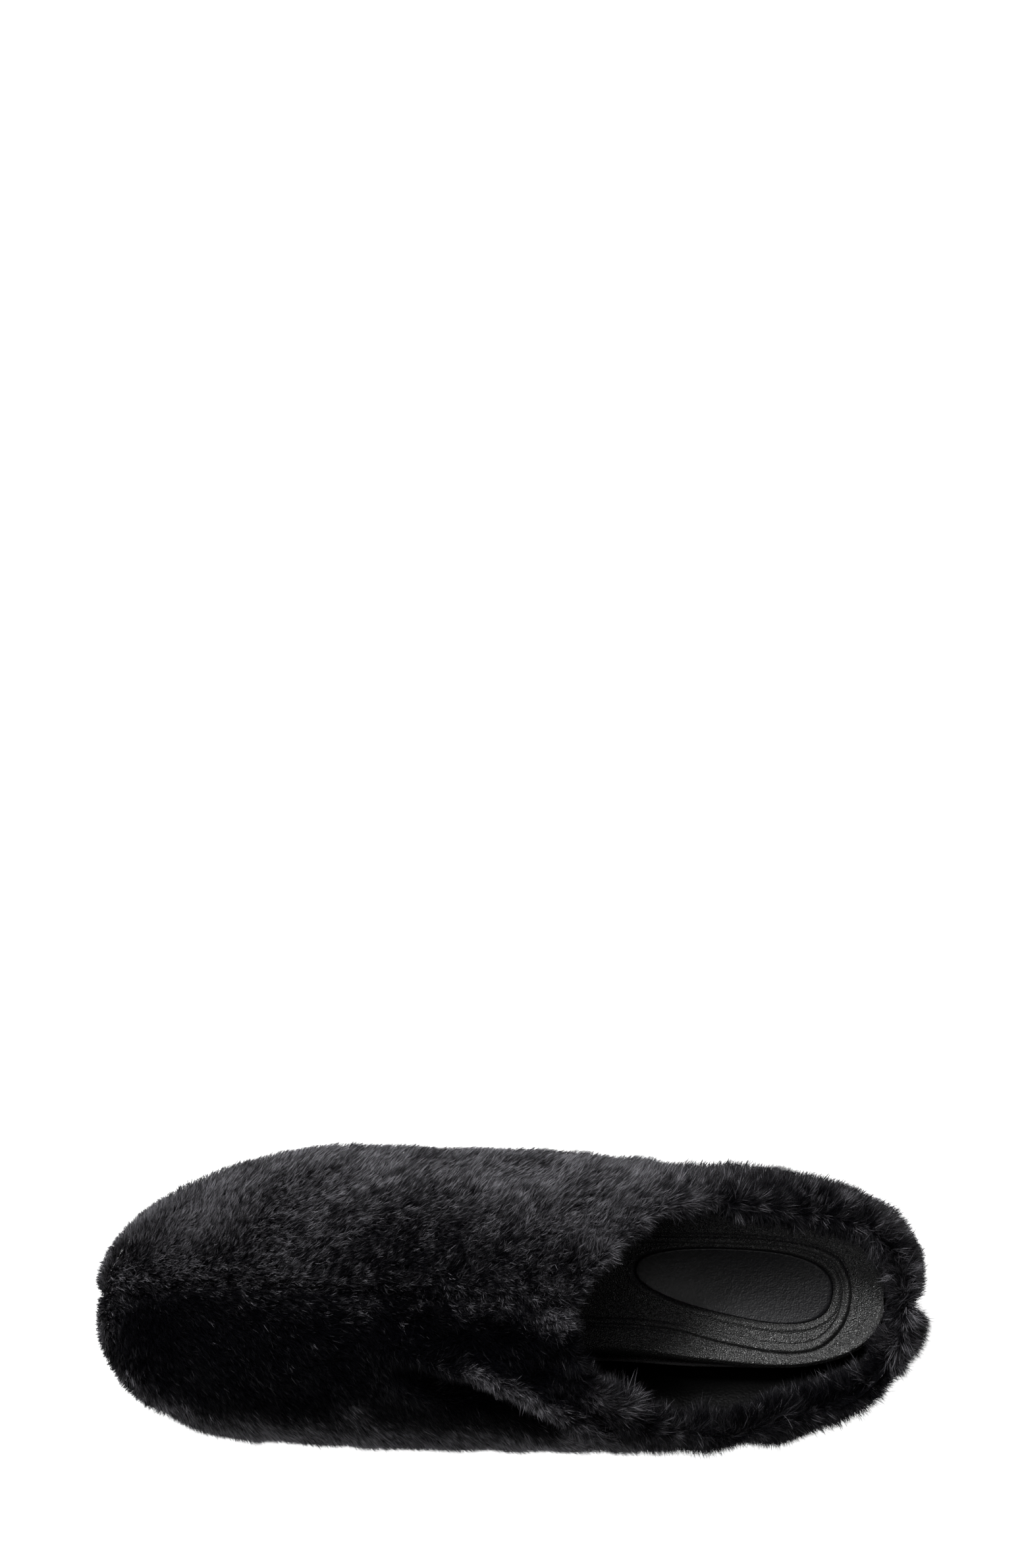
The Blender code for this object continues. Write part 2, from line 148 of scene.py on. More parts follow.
# Zones of the rim's roll, in radians from its outside
FLAT_ROLL, DRAWN_ROLL, LEAN_ROLL, SHADE_ROLL = (0.3, 1.6), (0.5, 2.2), (0.8, 2.6), (1.2, 2.3)
FRINGE_ROLL, INNER_ROLL = np.radians((50, 115)), np.radians((105, 178))

# Lay of the hair: its lean along the shoe and away from the seam, then the parts of the heel's lay
Lay = namedtuple("Lay", "ahead away")
VAMP_LAY, TOE_LAY, VAMP_LAY_ZONE = Lay(-0.95, 0.3), Lay(-0.8, 0.5), (70 * MM, 120 * MM)
HEEL_OUT, HEEL_DROOP, HEEL_PARTED = 0.9, (-0.25, 0, -0.35), 0.8
SEAM_PARTING, TOE_STEEPNESS = 22 * MM, (0.65, 1.0)
BACK_PARTING, BACK_PARTING_EDGE, BACK_PARTING_END = 9 * MM, 2 * MM, 44 * MM

# Unevenness of the fur and lining: size, wavelength, seed and number of waves
Wave = namedtuple("Wave", "size length seed count", defaults=[14])
WAVE_SPREAD = (0.7, 1.4)
SWAY, FLICKER, RIM_SWAY = Wave(0.20, 34 * MM, 1), Wave(0.10, 10 * MM, 2), Wave(0.45, 15 * MM, 7)
LENGTH_WAVE, LIFT_WAVE, TONE_WAVE = Wave(0.06, 16 * MM, 3), Wave(0.08, 24 * MM, 4), Wave(0.06, 12 * MM, 5)
LINING_RIPPLE, RIM_TUFTS = Wave(0.35 * MM, 26 * MM, 6), Wave(0.12, 6 * MM, 9)
CLUMPS = Wave(1, 2.2 * MM, 8, 40)

# Tufts and hairs: how many, how they scatter, and a hair's corners (root, both sides, tip) in its map
FUR_SEED, HAIRS_PER_TUFT = 20, 3
HIDDEN_SHARE, HIDDEN_ROWS = 0.5, (2, FUR_ROWS_BELOW)
TUFT_SPREAD, TUFT_GATHER, MIDDLE_GATHER = 0.42 * MM, 0.7, 0.4
LENGTH_SCATTER, LIFT_SCATTER = 0.06, 0.08
HAIR_LENGTH, HAIR_LENGTH_SCATTER, HAIR_LENGTHS = 0.88, 0.13, (0.55, 1.3)
HAIR_BEND, HAIR_STRAY, HAIR_TWIST = 0.22, 0.14, 0.9
HAIR_HALF_WIDTH, HAIR_WIDTHS = 0.088 * MM, (0.7, 1.35)
HAIR_FACES = ((0, 1, 2), (1, 3, 2))
HAIR_MAP_ACROSS, HAIR_MAP_ALONG = (0, -0.006, 0.006, 0), (0.02, 0.5, 0.5, 0.98)

# Tones of the fur, mostly painted light and shade, and where they change: on the shoe, or as shares of the
# way from seam to edge
# Darker heel collar, with painted shade on its medial side
HEEL_TONE, SHADED_MEDIAL_COLLAR_TONE, MEDIAL_COLLAR_ZONE = 0.23, 0.17, (0, 30 * MM)
# Painted light: a paler tone down the lateral flank, which faces the key lamp
RIDGE_TONE, LIT_FLANK_TONE, FLANK_ZONE = 0.245, 0.65, (0.12, 0.95)
# Painted shade: a near-black tone past the seam on the medial half
SHADED_TONE, SHADED_ZONE = 0.034, (-2 * MM, 6 * MM)
# Painted bounce light: a paler tone along the low medial edge
BOUNCE_LIT_MEDIAL_TONE, BOUNCE_LIT_MEDIAL_ZONE = 0.95, (0.70, 1.0)
VAMP_TONE_ZONE = (60 * MM, 120 * MM)
INNER_SHADE, UNSHADED_SIDE = 0.50, (5 * MM, 25 * MM)
CLUMP_CONTRAST, CLUMP_FADE = 0.80, 0.70
TUFT_TONE_SCATTER, HAIR_TONE_SCATTER, TONE_RANGE = 0.48, 0.42, (0.02, 0.98)
# Painted glints: a share of hairs given a pale tone, and that tone
GLINT_HAIRS, GLINT_HAIR_TONE = 0.008, 0.42

# Places round the rim, by angle and reach (degrees), with the size (mm) of what changes there:
# a thinner wall at the throat's corners, a longer tuft, and the crest drawn in
Corner = namedtuple("Corner", "angle reach size")
CORNERS = (Corner(125, 38, 3.8), Corner(210, 16, 3.6))
CORNER_TUFT = Corner(228, 10, 4.0)
CREST_DRAWN_IN = Corner(257, 17, 2.8)

# Trim of the fur's widest outline (mm) at even steps of angle: lateral side heel to toe, medial side back
TRIM_STEP, TRIM_STEEPNESS = 10, (0.35, 0.85)
LATERAL_TRIM = (
    -1.6, -1.2, 0.8, 1.0, -0.2, -0.3, -1.2, -0.5, -1.9,
    0.0, 1.4, -0.1, -1.0, -1.6, -2.5, -2.0, -0.2, 0.0,
)
MEDIAL_TRIM = (
    -0.4, -1.0, -6.2, -1.2, 0.7, 0.6, 1.4, 0.9, 0.7,
    -0.3, -4.2, -0.2, 0.0, -4.5, -4.9, -3.0, -0.9, -0.4,
)

# Pieces of fur, their tufts, and where the coats meet
Coat = namedtuple("Coat", "name tufts")
COATS = (
    Coat("fur_toe", 29000),
    Coat("fur_lateral", 30000),
    Coat("fur_medial", 29000),
    Coat("fur_heel", 25000),
    Coat("fur_rim", 22000),
)
HEEL_COAT_END, TOE_COAT_START, RIM_COAT_ROW = 95 * MM, 205 * MM, -4

# Lighter and darker patches of the nap and of painted light and shade: place over the shoe and radius (mm),
# and the patch's tone
Patch = namedtuple("Patch", "station side radius tone")
NAP_AND_LIGHT_PATCHES = (
    (165, -20, 17, 0.22), (210, -22, 17, 0.50), (240, -26, 15, 0.75), (8, -4, 20, 0.38),
    (265, -9, 8, 0.62), (268, 9, 7, 0.72), (259, 27, 7, 0.70), (245, 36, 7, 0.66),
    (108, -33, 13, 0.52), (123, -9, 9, 0.37), (104, 25, 9, 0.48), (228, 42, 7, 0.50),
    (187, 33, 6, 0.38), (184, -3, 5, 0.30), (149, -4, 4, 0.42), (140, -5, 4, 0.42),
    (121, -2, 5, 0.48),
)
NAP_AND_LIGHT = [Patch(*row) for row in NAP_AND_LIGHT_PATCHES]

# Moulded groove of the footbed in plan (mm): back along the medial side, round the heel, forward again
GROOVE = (
    (150, 7.5), (112, 8.2), (92, 8.8), (79, 10.7), (68, 13.6), (49, 16.9), (37, 16.0), (30, 11.4),
    (26, 5.1), (24.6, -3.3), (26.8, -11.0), (31, -15.5), (41, -18.9), (56, -20.5), (79, -20.9),
    (112, -20.0), (150, -19.0),
)
GROOVE_STEPS = 6

# Mouldings beside the groove: how far inside it each lies, its height and its width (mm)
Moulding = namedtuple("Moulding", "inside height width")
MOULDINGS = (
    Moulding(-1.3, 0.20, 0.9),
    Moulding(0.0, -0.95, 0.45),
    Moulding(1.5, 1.00, 0.85),
    Moulding(2.9, -0.75, 0.42),
)
PAD_BEAD = Moulding(-1.2, 0.90, 0.9)
EDGE_BEAD = Moulding(1.9, 0.65, 0.9)
MOULDING_END, EDGE_BEAD_END = (120 * MM, 150 * MM), (60 * MM, 110 * MM)
BEAD_CLEARING, RECESS_EDGE = (0.0, 0.08), (-0.035, 0.03)

# Footbed: sections crowded towards the heel, then even ones, points across, rounded edge, and its waist,
# which draws the medial edge in at the arch
FOOTBED_BACK, HEEL_PART_LENGTH, HEEL_SECTIONS, HEEL_CROWDING = 10.9 * MM, 115 * MM, 230, 1.25
FRONT_SECTIONS = (128 * MM, 259 * MM, 40)
ACROSS_POINTS, EDGE_ROUNDING = 142, 1.6 * MM
WAIST_INSET, WAIST_STATION, WAIST_REACH = 4.8 * MM, 105 * MM, 42 * MM

# Heel pad: its blunt egg, its edge as shares of the outline and rises (mm), and its dished top
PAD_HALF_LENGTH, PAD_HALF_WIDTH, PAD_TAPER, PAD_BLUNTNESS = 32.4 * MM, 11.0 * MM, 0.26, 0.8
PAD_POINTS, RECESS_POINTS = 150, 96
PAD_MIDDLE, PAD_BASE = 0.02, 0.99
PAD_EDGE = ((0.995, -0.9), (0.985, -0.45), (0.965, -0.24))
PAD_TOP, PAD_TOP_RINGS = 0.94, 18
PAD_EDGE_DROP, PAD_DISH = 0.15 * MM, 1.25 * MM

# Outsole: points round its outline, rings down its side, edge and tread, and its spine's ends
SOLE_AROUND, SIDE_RINGS, EDGE_RINGS, TREAD_RINGS = 480, 9, 7, 24
SPINE_END, TOP_EDGE = 28 * MM, 0.8 * MM
SIDE_LINE_DEPTH, SIDE_LINE_PLACE, SIDE_LINE_WIDTH = 0.5 * MM, 0.35, 0.08
TREAD_PITCH, TREAD_DEPTH, TREAD_BAND, TREAD_START = 8.5 * MM, 0.9 * MM, (0.45, 0.85), (0.1, 0.25)
TREAD_WAVE, TREAD_WAVE_WIDTH = 2.5 * MM, 7 * MM


def smooth_step(value, start, end):
    """Smooth rise from 0 at start to 1 at end."""
    share = np.clip((value - start) / (end - start), 0, 1)
    return share * share * (3 - 2 * share)


def between_zones(value, fade_in, fade_out):
    """Share of something that comes in over one zone and goes out over another."""
    return smooth_step(value, *fade_in) * (1 - smooth_step(value, *fade_out))


def bell(offset):
    """Bell curve: 1 at no offset, falling away on both sides."""
    return np.exp(-offset * offset)


def blend(first, second, share):
    """From the first value to the second by a share."""
    return first + (second - first) * share


def full_turn(count):
    """Evenly spaced angles once round."""
    return np.linspace(0, 2 * np.pi, count, endpoint=False)


def through(values, place, closed):
    """Smooth cubic through evenly spaced rows, read at fractional places."""
    values = np.asarray(values, float)
    last = len(values) - 1
    start = np.floor(place).astype(int)
    if not closed:
        start = np.clip(start, 0, last - 1)
    share = place - start

    def row(offset):
        index = start + offset
        return values[index % len(values)] if closed else values[np.clip(index, 0, last)]

    before, here, after, beyond = row(-1), row(0), row(1), row(2)
    share = share.reshape(share.shape + (1,) * (values.ndim - 1))
    slope_in, slope_out = (after - before) / 2, (beyond - here) / 2
    rise = after - here
    return here + share * (
        slope_in
        + share * (3 * rise - 2 * slope_in - slope_out + share * (slope_in + slope_out - 2 * rise))
    )


def line_side(line, station):
    """Sideways place of a line at a station, from its table."""
    sides = np.array([row.side for row in line]) * MM
    step = (line[1].station - line[0].station) * MM
    place = np.clip((station - line[0].station * MM) / step, 0, len(line) - 1)
    return through(sides, place, closed=False)


def outline_y(shape, angle):
    """Sideways place of a named outline: lateral side to the toe, medial side back."""
    lateral = [getattr(row, shape + "_lateral") for row in OUTLINES]
    medial = [getattr(row, shape + "_medial") for row in OUTLINES[-2:0:-1]]
    step = np.radians(OUTLINES[1].angle)
    return through(np.array(lateral + medial) * MM, angle / step, closed=True)


def along(back, front, angle):
    """Station at an angle round an outline that runs from back to front."""
    return back + (front - back) * (1 - np.cos(angle)) / 2


def angle_at(share):
    """Angle round an outline at a share of its length."""
    return np.arccos(1 - 2 * np.clip(share, 0, 1))


def grown(ring, distance):
    """A closed plan outline moved outwards along its normals."""
    tangent = np.roll(ring, -1, axis=0) - np.roll(ring, 1, axis=0)
    normal = np.stack([-tangent[:, 1], tangent[:, 0]], axis=1)
    normal /= np.linalg.norm(normal, axis=1, keepdims=True)
    ahead = np.roll(ring, -1, axis=0)
    turn = np.sum(ring[:, 0] * ahead[:, 1] - ring[:, 1] * ahead[:, 0])
    return ring - normal * distance * np.sign(turn)


def toe_spring(station):
    """Rise of the sole towards the toe."""
    ahead = np.clip((station - SPRING_START) / (SOLE_FRONT - SPRING_START), 0, None)
    return TOE_SPRING * ahead * ahead


def sole_top(station):
    """Height of the outsole's top face."""
    drop = (HEEL_TOP - BALL_TOP) * smooth_step(station, HEEL_LINE, BALL_LINE)
    return HEEL_TOP - drop + toe_spring(station)


def on_sole(plan):
    """Plan points set a gap above the outsole's top face."""
    return np.column_stack([plan, sole_top(plan[:, 0]) + GAP])


def sole_bottom(station):
    """Height of the tread: relieved under the arch, lifted at both ends."""
    arch = np.clip((station - ARCH_START) / (ARCH_END - ARCH_START), 0, 1)
    heel = np.clip((HEEL_EDGE - station) / (HEEL_EDGE - SOLE_BACK), 0, 1)
    return ARCH_RELIEF * np.sin(np.pi * arch) ** 2 + HEEL_LIFT * heel * heel + toe_spring(station)


def footbed_height(station, across):
    """Top of the footbed, cupped at its edges and raised at the medial arch."""
    cup = FOREFOOT_CUP + (HEEL_CUP - FOREFOOT_CUP) * (1 - smooth_step(station, HEEL_LINE, BALL_LINE))
    middle = (ARCH_START + ARCH_END) / 2
    arch = ARCH_RISE * bell((station - middle) / (ARCH_END - ARCH_START))
    edge = cup * np.abs(across) ** 3 + arch * np.clip(across, 0, 1) ** 2
    return sole_top(station) + GAP + FOOTBED_THICKNESS + edge


def bulge_height(station):
    """Height of the fur's widest outline."""
    return sole_top(station) + BULGE_RISE


def ridge_height(station):
    """Side profile of the vamp: down the instep, then round the toe's nose."""
    ahead = np.clip((FUR_FRONT - station) / (FUR_FRONT - CREST_FRONT), 0, None)
    line = TOE_LINE_HEIGHT + (THROAT_HEIGHT - TOE_LINE_HEIGHT) * ahead**INSTEP_POWER
    nose = np.clip((station - NOSE_START) / (FUR_FRONT - NOSE_START), 0, 1)
    base = bulge_height(station)
    return base + (line - base) * np.clip(1 - nose**NOSE_POWER, 0, 1) ** (1 / 2)


def collar_height(station):
    """Height of the collar's crest, read from its table."""
    heights = np.array([row.height for row in COLLAR]) * MM
    return through(heights, station / (COLLAR[1].station * MM), closed=False)


def fur_sides(station):
    """Lateral and medial places of the fur's widest outline."""
    angle = angle_at((station - FUR_BACK) / (FUR_FRONT - FUR_BACK))
    return outline_y("fur", angle), outline_y("fur", 2 * np.pi - angle)


def vamp_height(station, side):
    """Height of the vamp at a plan point: a rounded section below the ridge."""
    lateral, medial = fur_sides(station)
    half = np.maximum((medial - lateral) / 2, MM)
    off = np.clip(np.abs(side - (lateral + medial) / 2) / half, 0, 1)
    base = bulge_height(station)
    return base + (ridge_height(station) - base) * (1 - off**SECTION_POWER) ** (1 / 2)


def wall_thickness(station):
    """Backing and pile together, deeper at the heel than on the vamp."""
    thin = smooth_step(station, WALL_CHANGE_START, WALL_CHANGE_END)
    return HEEL_WALL + (VAMP_WALL - HEEL_WALL) * thin


def reach(back, front, angle):
    """Station on a ring: level with the crest at the heel, stretched towards its front."""
    share = (1 - np.cos(angle)) / 2
    opening = CREST_FRONT - CREST_BACK
    return back + opening * share + (front - back - opening) * share * share


def both_sides(shape, share, angle):
    """A named outline at a share of its length, on the angle's side of the shoe."""
    here = angle_at(share)
    return outline_y(shape, np.where(angle <= np.pi, here, 2 * np.pi - here))


def feather_line(angle):
    """Plan points of the outsole's edge, spaced as the rings above it."""
    station = reach(SOLE_BACK, SOLE_FRONT, angle)
    share = (station - SOLE_BACK) / (SOLE_FRONT - SOLE_BACK)
    return np.stack([station, both_sides("sole", share, angle)], axis=1)


def upper_rings(angle, rows_per_ring, rows_below):
    """Outer surface of the upper, in rows from the feather edge to the crest."""
    rows = np.linspace(0, len(RINGS) - 1, (len(RINGS) - 1) * rows_per_ring + 1)
    table = through(np.array(RINGS), rows, closed=False).T[:, :, None]
    heel, ridge, inward, height, width, joined = table
    station = reach(heel * MM, ridge * MM, angle)
    fur = both_sides("fur", (station - heel * MM) / (ridge * MM - heel * MM), angle)
    crest = outline_y("crest", angle)
    vamp_side = fur * width * (1 - joined) + crest * joined
    wall_side = fur + (crest - fur) * inward
    on_vamp = smooth_step(station, WALL_ZONE_END, SECTION_ZONE_START)
    side = wall_side + (vamp_side - wall_side) * on_vamp
    base = bulge_height(station)
    wall = base + (collar_height(station) - base) * height
    rise = wall + (vamp_height(station, side) - wall) * on_vamp
    above = np.stack([station, side, rise], axis=2)
    edge = feather_line(angle)
    feather = grown(edge, wall_thickness(edge[:, :1]) - LINING_INSET)
    lowest = on_sole(feather)
    share = np.linspace(0, 1, rows_below, endpoint=False)[:, None, None]
    out = np.sin(share * np.pi / 2)
    below = lowest + (above[0] - lowest) * np.concatenate([out, out, share], axis=2)
    return np.concatenate([below, above])


def unit(vectors):
    """Vectors of length one."""
    return vectors / np.maximum(np.linalg.norm(vectors, axis=-1, keepdims=True), 1e-12)


def surface_frame(rows):
    """Unit normals of a grid of rings, and the ways up square to each ring."""
    slanted = np.gradient(rows, axis=0)
    round_about = unit(np.roll(rows, -1, axis=1) - np.roll(rows, 1, axis=1))
    normal = unit(np.cross(round_about, slanted))
    return normal, np.cross(normal, round_about)


def shoe_origin():
    """The frame's origin in the shoe's stations: the middle of the upper."""
    rings = upper_rings(full_turn(SOLID_AROUND), SOLID_ROWS_PER_RING, SOLID_ROWS_BELOW)
    points = rings.reshape(-1, 3)
    middle = (points.min(axis=0) + points.max(axis=0)) / 2
    return np.array([middle[0], middle[1], 0])


ORIGIN = shoe_origin()


def waves(points, wave):
    """Smooth noise of a wave's size: plane waves in random directions and phases."""
    rng = np.random.default_rng(wave.seed)
    way = unit(rng.normal(size=(wave.count, 3))) * rng.uniform(*WAVE_SPREAD, (wave.count, 1))
    way = way * 2 * np.pi / wave.length
    phase = rng.uniform(0, 2 * np.pi, wave.count)
    return wave.size * (np.cos(points @ way.T + phase).sum(axis=-1) * np.sqrt(2 / wave.count))


def swung(way, axis, angle):
    """Directions swung by an angle about an axis square to them."""
    return way * np.cos(angle) + np.cross(axis, way) * np.sin(angle)


def seam_grooves(points):
    """Drop of the skin along the centre seam and the back seam."""
    station, side = points[..., 0], points[..., 1]
    from_seam = (side - line_side(CENTRE_SEAM, station)) / SEAM_WIDTH
    from_back = (side - BACK_SEAM_SIDE) / BACK_SEAM_WIDTH
    at_back = 1 - smooth_step(station, 0, BACK_SEAM_END)
    centre = SEAM_DEPTH * bell(from_seam) * smooth_step(station, *SEAM_ZONE)
    return -centre - BACK_SEAM_DEPTH * bell(from_back) * at_back


def medial_fold(points):
    """Rise of the skin along the medial fold: a soft ridge beside a soft trough."""
    station, side = points[..., 0], points[..., 1]
    from_fold = side - line_side(MEDIAL_FOLD, station)
    ridge = FOLD_RIDGE * bell((from_fold - FOLD_RIDGE_PLACE) / FOLD_WIDTH)
    trough = FOLD_TROUGH * bell((from_fold - FOLD_TROUGH_PLACE) / FOLD_WIDTH)
    above_edge = points[..., 2] - bulge_height(station)
    return (ridge - trough) * between_zones(station, FOLD_IN, FOLD_OUT) * smooth_step(above_edge, *FOLD_RISE)


def pile_value(name, station, on_rim):
    """A measure of the pile: heel, vamp and toe along the shoe, and the rim's own."""
    heel, vamp, toe, rim = (getattr(pile, name) for pile in (HEEL_PILE, VAMP_PILE, TOE_PILE, RIM_PILE))
    value = blend(heel, vamp, smooth_step(station, *VAMP_PILE_ZONE))
    value = blend(value, toe, smooth_step(station, *TOE_ZONE))
    return blend(value, rim, on_rim)


class FurGrid:
    """The upper's outer surface and rim as a grid, with its skin, pile and lay."""

    def __init__(self):
        self.angle = full_turn(FUR_AROUND)
        outer = upper_rings(self.angle, FUR_ROWS_PER_RING, FUR_ROWS_BELOW)
        self.outer_rows = len(outer)
        self.turn = np.concatenate([np.zeros(len(outer)), np.linspace(0, np.pi, RIM_ROWS)[1:]])
        plain = self.rolled(outer)
        plain_normal, _ = surface_frame(plain)
        off_rim = 1 - self.on_roll(FLAT_ROLL)
        rise = medial_fold(plain) * off_rim + self.trim(plain_normal)
        folded = plain + plain_normal * rise[..., None]
        self.normal, self.climb = surface_frame(folded)
        self.tips = folded + self.normal * (seam_grooves(plain) * off_rim)[..., None]
        self.set_pile()
        self.set_lay()

    def past_crest(self, zone):
        """Share of the way through a zone of rows, counted from the crest of the opening."""
        return smooth_step(np.arange(len(self.turn)) - self.outer_rows, *zone)[:, None]

    def on_roll(self, zone):
        """Share of the way through a zone of the rim's roll."""
        return smooth_step(self.turn, *zone)[:, None]

    def near(self, corner):
        """A corner's size at each angle: a bell curve of its reach."""
        return corner.size * MM * bell((np.degrees(self.angle) - corner.angle) / corner.reach)

    def rolled(self, outer):
        """Sets the lining; returns the outer rows with the rim rolled over to it."""
        normal, climb = surface_frame(outer)
        thinner = self.past_crest(CORNER_ROWS)[: len(outer)] * sum(self.near(corner) for corner in CORNERS)
        wall = wall_thickness(outer[..., :1]) - thinner[..., None]
        self.lining = outer - normal * wall
        turn = self.turn[len(outer) :, None, None]
        radius = wall[-1] / 2
        middle = outer[-1] - normal[-1] * radius
        rim = middle + radius * (normal[-1] * np.cos(turn) + climb[-1] * np.sin(turn))
        drawn = self.past_crest(DRAWN_ROWS) * (1 - self.on_roll(DRAWN_ROLL))
        outwards = unit(normal[-1] * [1, 1, 0]) * self.near(CREST_DRAWN_IN)[:, None]
        return np.concatenate([outer, rim]) - drawn[..., None] * outwards

    def trim(self, normal):
        """Trim of the outline: full on steep fur, none on level fur or the rim."""
        steps = np.array(LATERAL_TRIM + MEDIAL_TRIM) * MM
        trim = through(steps, self.angle / np.radians(TRIM_STEP), closed=True)
        return trim * smooth_step(1 - normal[..., 2], *TRIM_STEEPNESS) * (1 - self.past_crest(TRIM_ROWS))

    def set_pile(self):
        """Depth, length and lift of the pile; the skin lies the depth below the tips."""
        station, side = self.tips[..., 0], self.tips[..., 1]
        on_rim = self.past_crest(RIM_PILE_ROWS)
        self.on_rim = np.broadcast_to(on_rim, station.shape)
        self.length = pile_value("length", station, on_rim)
        self.length *= 1 - THROAT_SHORTER * on_rim * smooth_step(station, *SHORTER_ZONE)
        self.lift = pile_value("lift", station, on_rim)
        self.stray = pile_value("stray", station, on_rim)
        depth = TIP_SHARE * self.length * np.sin(self.lift) - pile_value("stand", station, on_rim)
        inner = self.on_roll(INNER_ROLL)
        self.lift = blend(self.lift, INNER_LIFT, inner)
        low = np.arange(len(self.turn))[:, None]
        depth = depth * (1 - inner) * blend(FEATHER_DEPTH, 1, smooth_step(low, *FEATHER_ROWS))
        self.skin = self.tips - self.normal * depth[..., None]
        fringe = blend(COLLAR_FRINGE, MEDIAL_FRINGE, smooth_step(side, *MEDIAL_FRINGE_ZONE))
        fringe = blend(fringe, THROAT_FRINGE, smooth_step(station, *THROAT_FRINGE_ZONE))
        fringe = fringe + self.near(CORNER_TUFT)
        fringed = (depth + fringe) / (TIP_SHARE * np.sin(self.lift))
        self.length = blend(self.length, fringed, self.on_roll(FRINGE_ROLL))
        # Painted shade: hairs on the inside of the rim's roll get a darker tone, except on the medial side
        lateral = 1 - smooth_step(side, *UNSHADED_SIDE)
        self.shade = 1 - INNER_SHADE * self.on_roll(SHADE_ROLL) * lateral

    def set_lay(self):
        """Direction in which hair leans: heelwards and out from the seam on the vamp, outwards at the ends.

        Over the rim a tuft leans on outwards or in over the opening, by a chance that grows over the roll.
        """
        station, side = self.tips[..., 0], self.tips[..., 1]

        def level(ahead, aside):
            zero = np.zeros_like(station)
            return np.stack([zero + ahead, zero + aside, zero], axis=2)

        away = np.tanh((side - line_side(CENTRE_SEAM, station)) / SEAM_PARTING)
        vamp = level(VAMP_LAY.ahead, away * VAMP_LAY.away)
        radial = unit(self.normal * [1, 1, 0])
        from_back = side - BACK_SEAM_SIDE
        parting = bell(from_back / BACK_PARTING) * (1 - smooth_step(station, 0, BACK_PARTING_END))
        parted = level(0, np.tanh(from_back / BACK_PARTING_EDGE) * parting)
        heel = radial * HEEL_OUT + np.array(HEEL_DROOP) + parted * HEEL_PARTED
        steep = smooth_step(1 - self.normal[..., 2], *TOE_STEEPNESS)[..., None]
        toe = blend(level(TOE_LAY.ahead, away * TOE_LAY.away), radial, steep)
        lay = blend(heel, vamp, smooth_step(station, *VAMP_LAY_ZONE)[..., None])
        lay = blend(lay, toe, smooth_step(station, *TOE_ZONE)[..., None])
        lay = unit(lay - self.normal * np.sum(lay * self.normal, axis=2, keepdims=True))
        swing = waves(self.tips, SWAY) + waves(self.tips, FLICKER) + waves(self.tips, RIM_SWAY) * self.on_rim
        self.lay = swung(lay, self.normal, swing[..., None])
        self.inward = swung(self.climb, self.normal, swing[..., None])
        self.over = np.broadcast_to(self.on_roll(LEAN_ROLL), station.shape)

    def cell_areas(self):
        """Area of each cell of the grid, from the cross product of its sides."""
        up = self.tips[1:] - self.tips[:-1]
        round_about = np.roll(self.tips, -1, axis=1) - self.tips
        return np.linalg.norm(np.cross(up, round_about[:-1]), axis=2)

    def part(self, name):
        """Cells of a named coat: the rim, the heel, the toe, and the vamp's two sides."""
        station = self.tips[:-1, :, 0]
        row = np.arange(len(station))[:, None] - self.outer_rows
        rim = np.broadcast_to(row >= RIM_COAT_ROW, station.shape)
        parts = {"fur_rim": rim}
        parts["fur_heel"] = ~rim & (station < HEEL_COAT_END)
        parts["fur_toe"] = ~rim & (station > TOE_COAT_START)
        sides = ~(rim | parts["fur_heel"] | parts["fur_toe"])
        parts["fur_lateral"] = sides & (self.angle <= np.pi)
        parts["fur_medial"] = sides & (self.angle > np.pi)
        return parts[name]

    def read(self, grid, row, column):
        """Grid values at fractional places, mixed from the four nearest."""
        low, left = np.floor(row).astype(int), np.floor(column).astype(int)
        high = np.minimum(low + 1, len(grid) - 1)
        right = (left + 1) % FUR_AROUND
        left = left % FUR_AROUND
        up, over = row - low, column - np.floor(column)
        if grid.ndim == 3:
            up, over = up[:, None], over[:, None]
        first = grid[low, left] * (1 - over) + grid[low, right] * over
        second = grid[high, left] * (1 - over) + grid[high, right] * over
        return first * (1 - up) + second * up


def linked(name, data):
    """New object in the scene, at the origin."""
    made = bpy.data.objects.new(name, data)
    bpy.context.scene.collection.objects.link(made)
    return made


def mesh_object(name, points, faces, corner_count):
    """Object from arrays of points and of faces with equally many corners."""
    mesh = bpy.data.meshes.new(name)
    mesh.vertices.add(len(points))
    mesh.vertices.foreach_set("co", np.ascontiguousarray(points - ORIGIN, dtype=np.float32).ravel())
    mesh.loops.add(faces.size)
    mesh.loops.foreach_set("vertex_index", np.ascontiguousarray(faces, dtype=np.int32).ravel())
    mesh.polygons.add(len(faces))
    mesh.polygons.foreach_set("loop_start", np.arange(0, faces.size, corner_count, dtype=np.int32))
    mesh.polygons.foreach_set("use_smooth", np.ones(len(faces), dtype=bool))
    mesh.update(calc_edges=True)
    mesh.validate()
    return linked(name, mesh)


def map_corners(piece, name, places):
    """Adds a UV map from one place for each face corner."""
    layer = piece.data.uv_layers.new(name=name)
    layer.data.foreach_set("uv", np.ascontiguousarray(places, dtype=np.float32).ravel())


